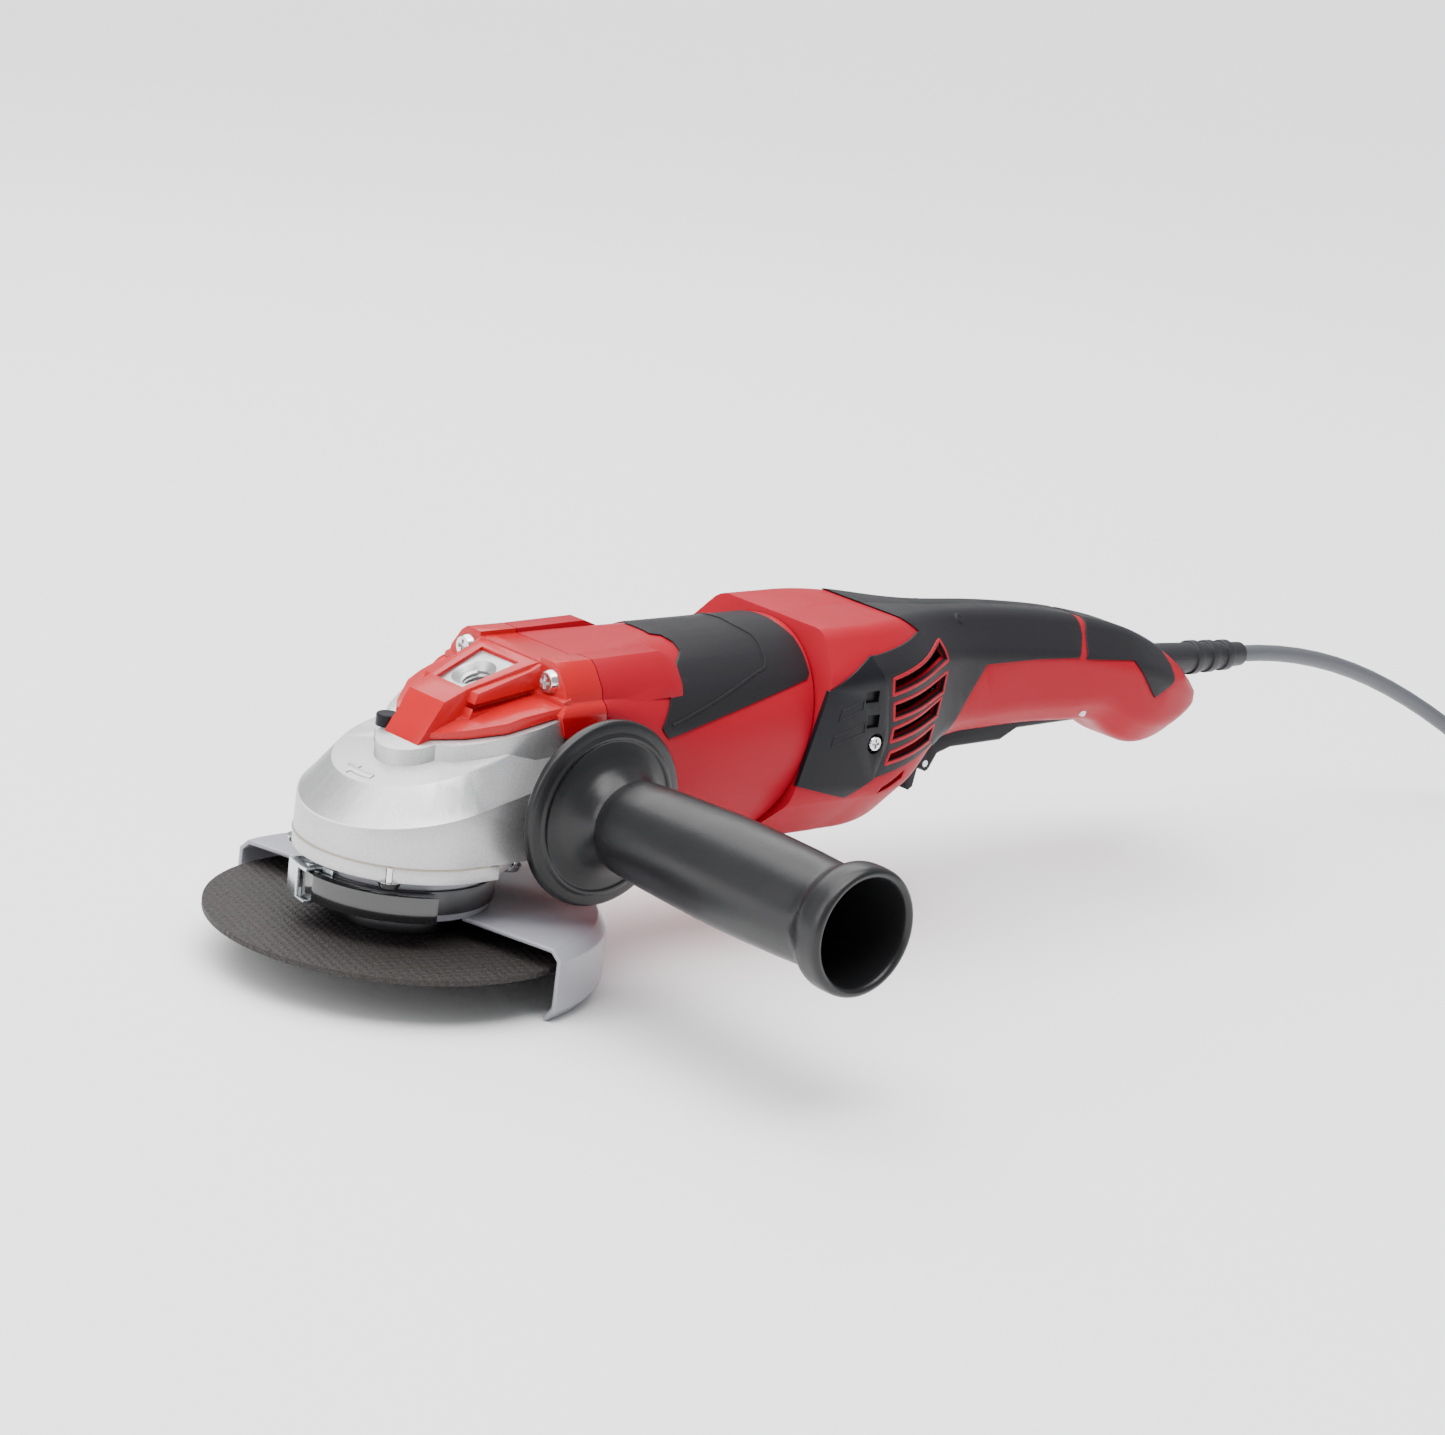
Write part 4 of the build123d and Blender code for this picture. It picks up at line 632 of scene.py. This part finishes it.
LEAN = math.atan(0.385)
HOLE_AXIS = Vector((-math.sin(LEAN), 0, math.cos(LEAN)))
HOLE_MOUTH = Vector((20.6, 0, 90.1))
CHAMFER_DEPTH, HOLE_R, HOLE_PITCH = 2.6, 5.0, 1.5
thread("top_hole_thread", HOLE_MOUTH - HOLE_AXIS * CHAMFER_DEPTH, HOLE_AXIS, HOLE_R, HOLE_PITCH, 6,
       "cast_aluminium", "housing")


# ------------------------------------------------------------------ cord
CORD_D = 6.4
FLOOR_Z = -5.6
CORD_LOW = FLOOR_Z + CORD_D / 2 + 0.1
COIL_X, MEAN_R, PITCH = 672.0, 38.4, 6.55
OUTER_R = MEAN_R + 2 * PITCH
POINTS_PER_TURN = 16
PLUG_NOSE = (758.0, 0.0, FLOOR_Z + 13.1)


def coil_points():
    """Two layers wound flat on the floor: inwards on the lower one, back outwards on the upper one."""
    points = []
    lower_turns, upper_turns, climb = 4.75, 4.375, 0.25
    spread = 4 * PITCH
    steps = int((lower_turns + upper_turns) * POINTS_PER_TURN)
    # keeps the spline, which cuts inside its points, on the wanted radius
    bulge = 1 / (0.5 + 0.5 * math.cos(math.pi / POINTS_PER_TURN))
    for n in range(1, steps + 1):
        turn = n / POINTS_PER_TURN
        if turn <= lower_turns:
            radius, z = OUTER_R - spread * turn / lower_turns, CORD_LOW
        else:
            up = turn - lower_turns
            radius = OUTER_R - spread + 0.9 * spread * max(0.0, up - climb) / (upper_turns - climb)
            z = CORD_LOW + PITCH * min(1.0, up / climb)
        angle = -math.pi / 2 + 2 * math.pi * turn
        points.append((COIL_X + bulge * radius * math.cos(angle), bulge * radius * math.sin(angle), z))
    return points


LEAD = [(397.0, 0, 66.52), (432.0, 0, 65.5), (505.0, 0, 42.0), (566.0, -22.0, CORD_LOW + 3),
        (618.0, -OUTER_R, CORD_LOW), (660.0, -OUTER_R, CORD_LOW)]


def cord_curve(name, points, radius):
    """Round cord of one open spline through points in millimetres."""
    curve = bpy.data.curves.new(name, "CURVE")
    curve.dimensions = "3D"
    curve.bevel_depth = radius * MM
    curve.bevel_resolution = 6
    curve.use_fill_caps = True
    spline = curve.splines.new("NURBS")
    spline.points.add(len(points) - 1)
    for point, place in zip(spline.points, points):
        point.co = (*(c * MM for c in place), 1)
    spline.order_u = 3
    spline.use_endpoint_u = True
    spline.resolution_u = 6
    obj = bpy.data.objects.new(name, curve)
    bpy.context.scene.collection.objects.link(obj)
    curve.materials.append(M["cord_grey"])
    return obj


wound = coil_points()
# the free end leaves the coil on one bend and meets the plug's nose straight
TAIL_BEND = 50.0
tail = []
for turn, z in ((148, 5.0), (130, 5.8), (110, 6.8), (100, 7.3)):
    angle = math.radians(turn)
    tail.append((PLUG_NOSE[0] + TAIL_BEND * math.cos(angle), TAIL_BEND * (math.sin(angle) - 1), z))
tail.append(PLUG_NOSE)
route = LEAD + wound + tail
cord = cord_curve("mains_cord", route, CORD_D / 2)
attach(cord, "housing")
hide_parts("power_cord", "cord_coil")


def curve_length(obj):
    """Length of a curve's middle line, measured on a copy without thickness."""
    sample = bpy.data.curves.new("line", "CURVE")
    sample.dimensions = "3D"
    spline = sample.splines.new("NURBS")
    source = obj.data.splines[0]
    spline.points.add(len(source.points) - 1)
    for a, b in zip(spline.points, source.points):
        a.co = b.co
    spline.order_u = 3
    spline.use_endpoint_u = True
    spline.resolution_u = 8
    line = bpy.data.objects.new("line", sample)
    bpy.context.scene.collection.objects.link(line)
    mesh = line.to_mesh()
    ends = [[mesh.vertices[v].co for v in edge.vertices] for edge in mesh.edges]
    total = sum((a - b).length for a, b in ends)
    line.to_mesh_clear()
    bpy.data.objects.remove(line)
    bpy.data.curves.remove(sample)
    return total


CORD_LENGTH = curve_length(cord)
print("cord length", CORD_LENGTH)


# ------------------------------------------------------------------ stage, light and camera
world = bpy.data.worlds.new("studio")
bpy.context.scene.world = world
world.use_nodes = True
world.node_tree.nodes["Background"].inputs["Color"].default_value = (0.95, 0.97, 1.0, 1)
world.node_tree.nodes["Background"].inputs["Strength"].default_value = 0.62

bpy.ops.mesh.primitive_plane_add(size=14, location=(0.2, 0, FLOOR_Z * MM))
floor = bpy.context.object
floor.name = "studio_floor"
floor_material, floor_tree, floor_shader = new_material("floor")
floor_shader.inputs["Base Color"].default_value = (0.93, 0.93, 0.93, 1)
floor_shader.inputs["Roughness"].default_value = 0.7
floor_shader.inputs["Specular IOR Level"].default_value = 0.2
floor.data.materials.append(floor_material)


def area_light(name, place, target, size, power, size_y):
    data = bpy.data.lights.new(name, "AREA")
    data.energy = power
    data.shape = "RECTANGLE"
    data.size = size
    data.size_y = size_y
    obj = bpy.data.objects.new(name, data)
    obj.location = place
    obj.rotation_euler = (Vector(target) - Vector(place)).to_track_quat("-Z", "Y").to_euler()
    bpy.context.scene.collection.objects.link(obj)


# place and target in metres, width, watts, height
area_light("key", (-0.2, -0.5, 1.5), (0.15, 0, 0.05), 1.1, 10, 0.7)
area_light("left", (-1.3, 0.3, 0.7), (0.1, 0, 0.05), 0.8, 12, 1.1)
area_light("back", (0.5, 1.1, 1.1), (0.2, 0, 0.05), 1.6, 10, 0.5)

# broad even light from above, which keeps the floor pale
overhead_data = bpy.data.lights.new("overhead", "SUN")
overhead_data.energy = 5.2
overhead_data.angle = math.radians(70)
overhead = bpy.data.objects.new("overhead", overhead_data)
overhead.rotation_euler = Vector((0.10, -0.12, -1)).to_track_quat("-Z", "Y").to_euler()
bpy.context.scene.collection.objects.link(overhead)

CAMERA_AT = Vector((-779.93, -961.23, 425.89)) * MM
AZIMUTH, ELEVATION, ROLL = math.radians(-43.48), math.radians(15.24), math.radians(7.34)
right = Vector((math.cos(AZIMUTH), math.sin(AZIMUTH), 0))
away = Vector((math.sin(AZIMUTH), -math.cos(AZIMUTH), 0))
back = away * math.cos(ELEVATION) + Vector((0, 0, math.sin(ELEVATION)))
up = back.cross(right)
rolled_right = math.cos(ROLL) * right + math.sin(ROLL) * up
rolled_up = -math.sin(ROLL) * right + math.cos(ROLL) * up
camera_data = bpy.data.cameras.new("photo_camera")
camera_data.sensor_width = 36
camera_data.lens = 100.9
camera_data.clip_end = 20
camera = bpy.data.objects.new("photo_camera", camera_data)
camera.matrix_world = Matrix((
    (rolled_right.x, rolled_up.x, back.x, CAMERA_AT.x),
    (rolled_right.y, rolled_up.y, back.y, CAMERA_AT.y),
    (rolled_right.z, rolled_up.z, back.z, CAMERA_AT.z),
    (0, 0, 0, 1),
))
bpy.context.scene.collection.objects.link(camera)
bpy.context.scene.camera = camera
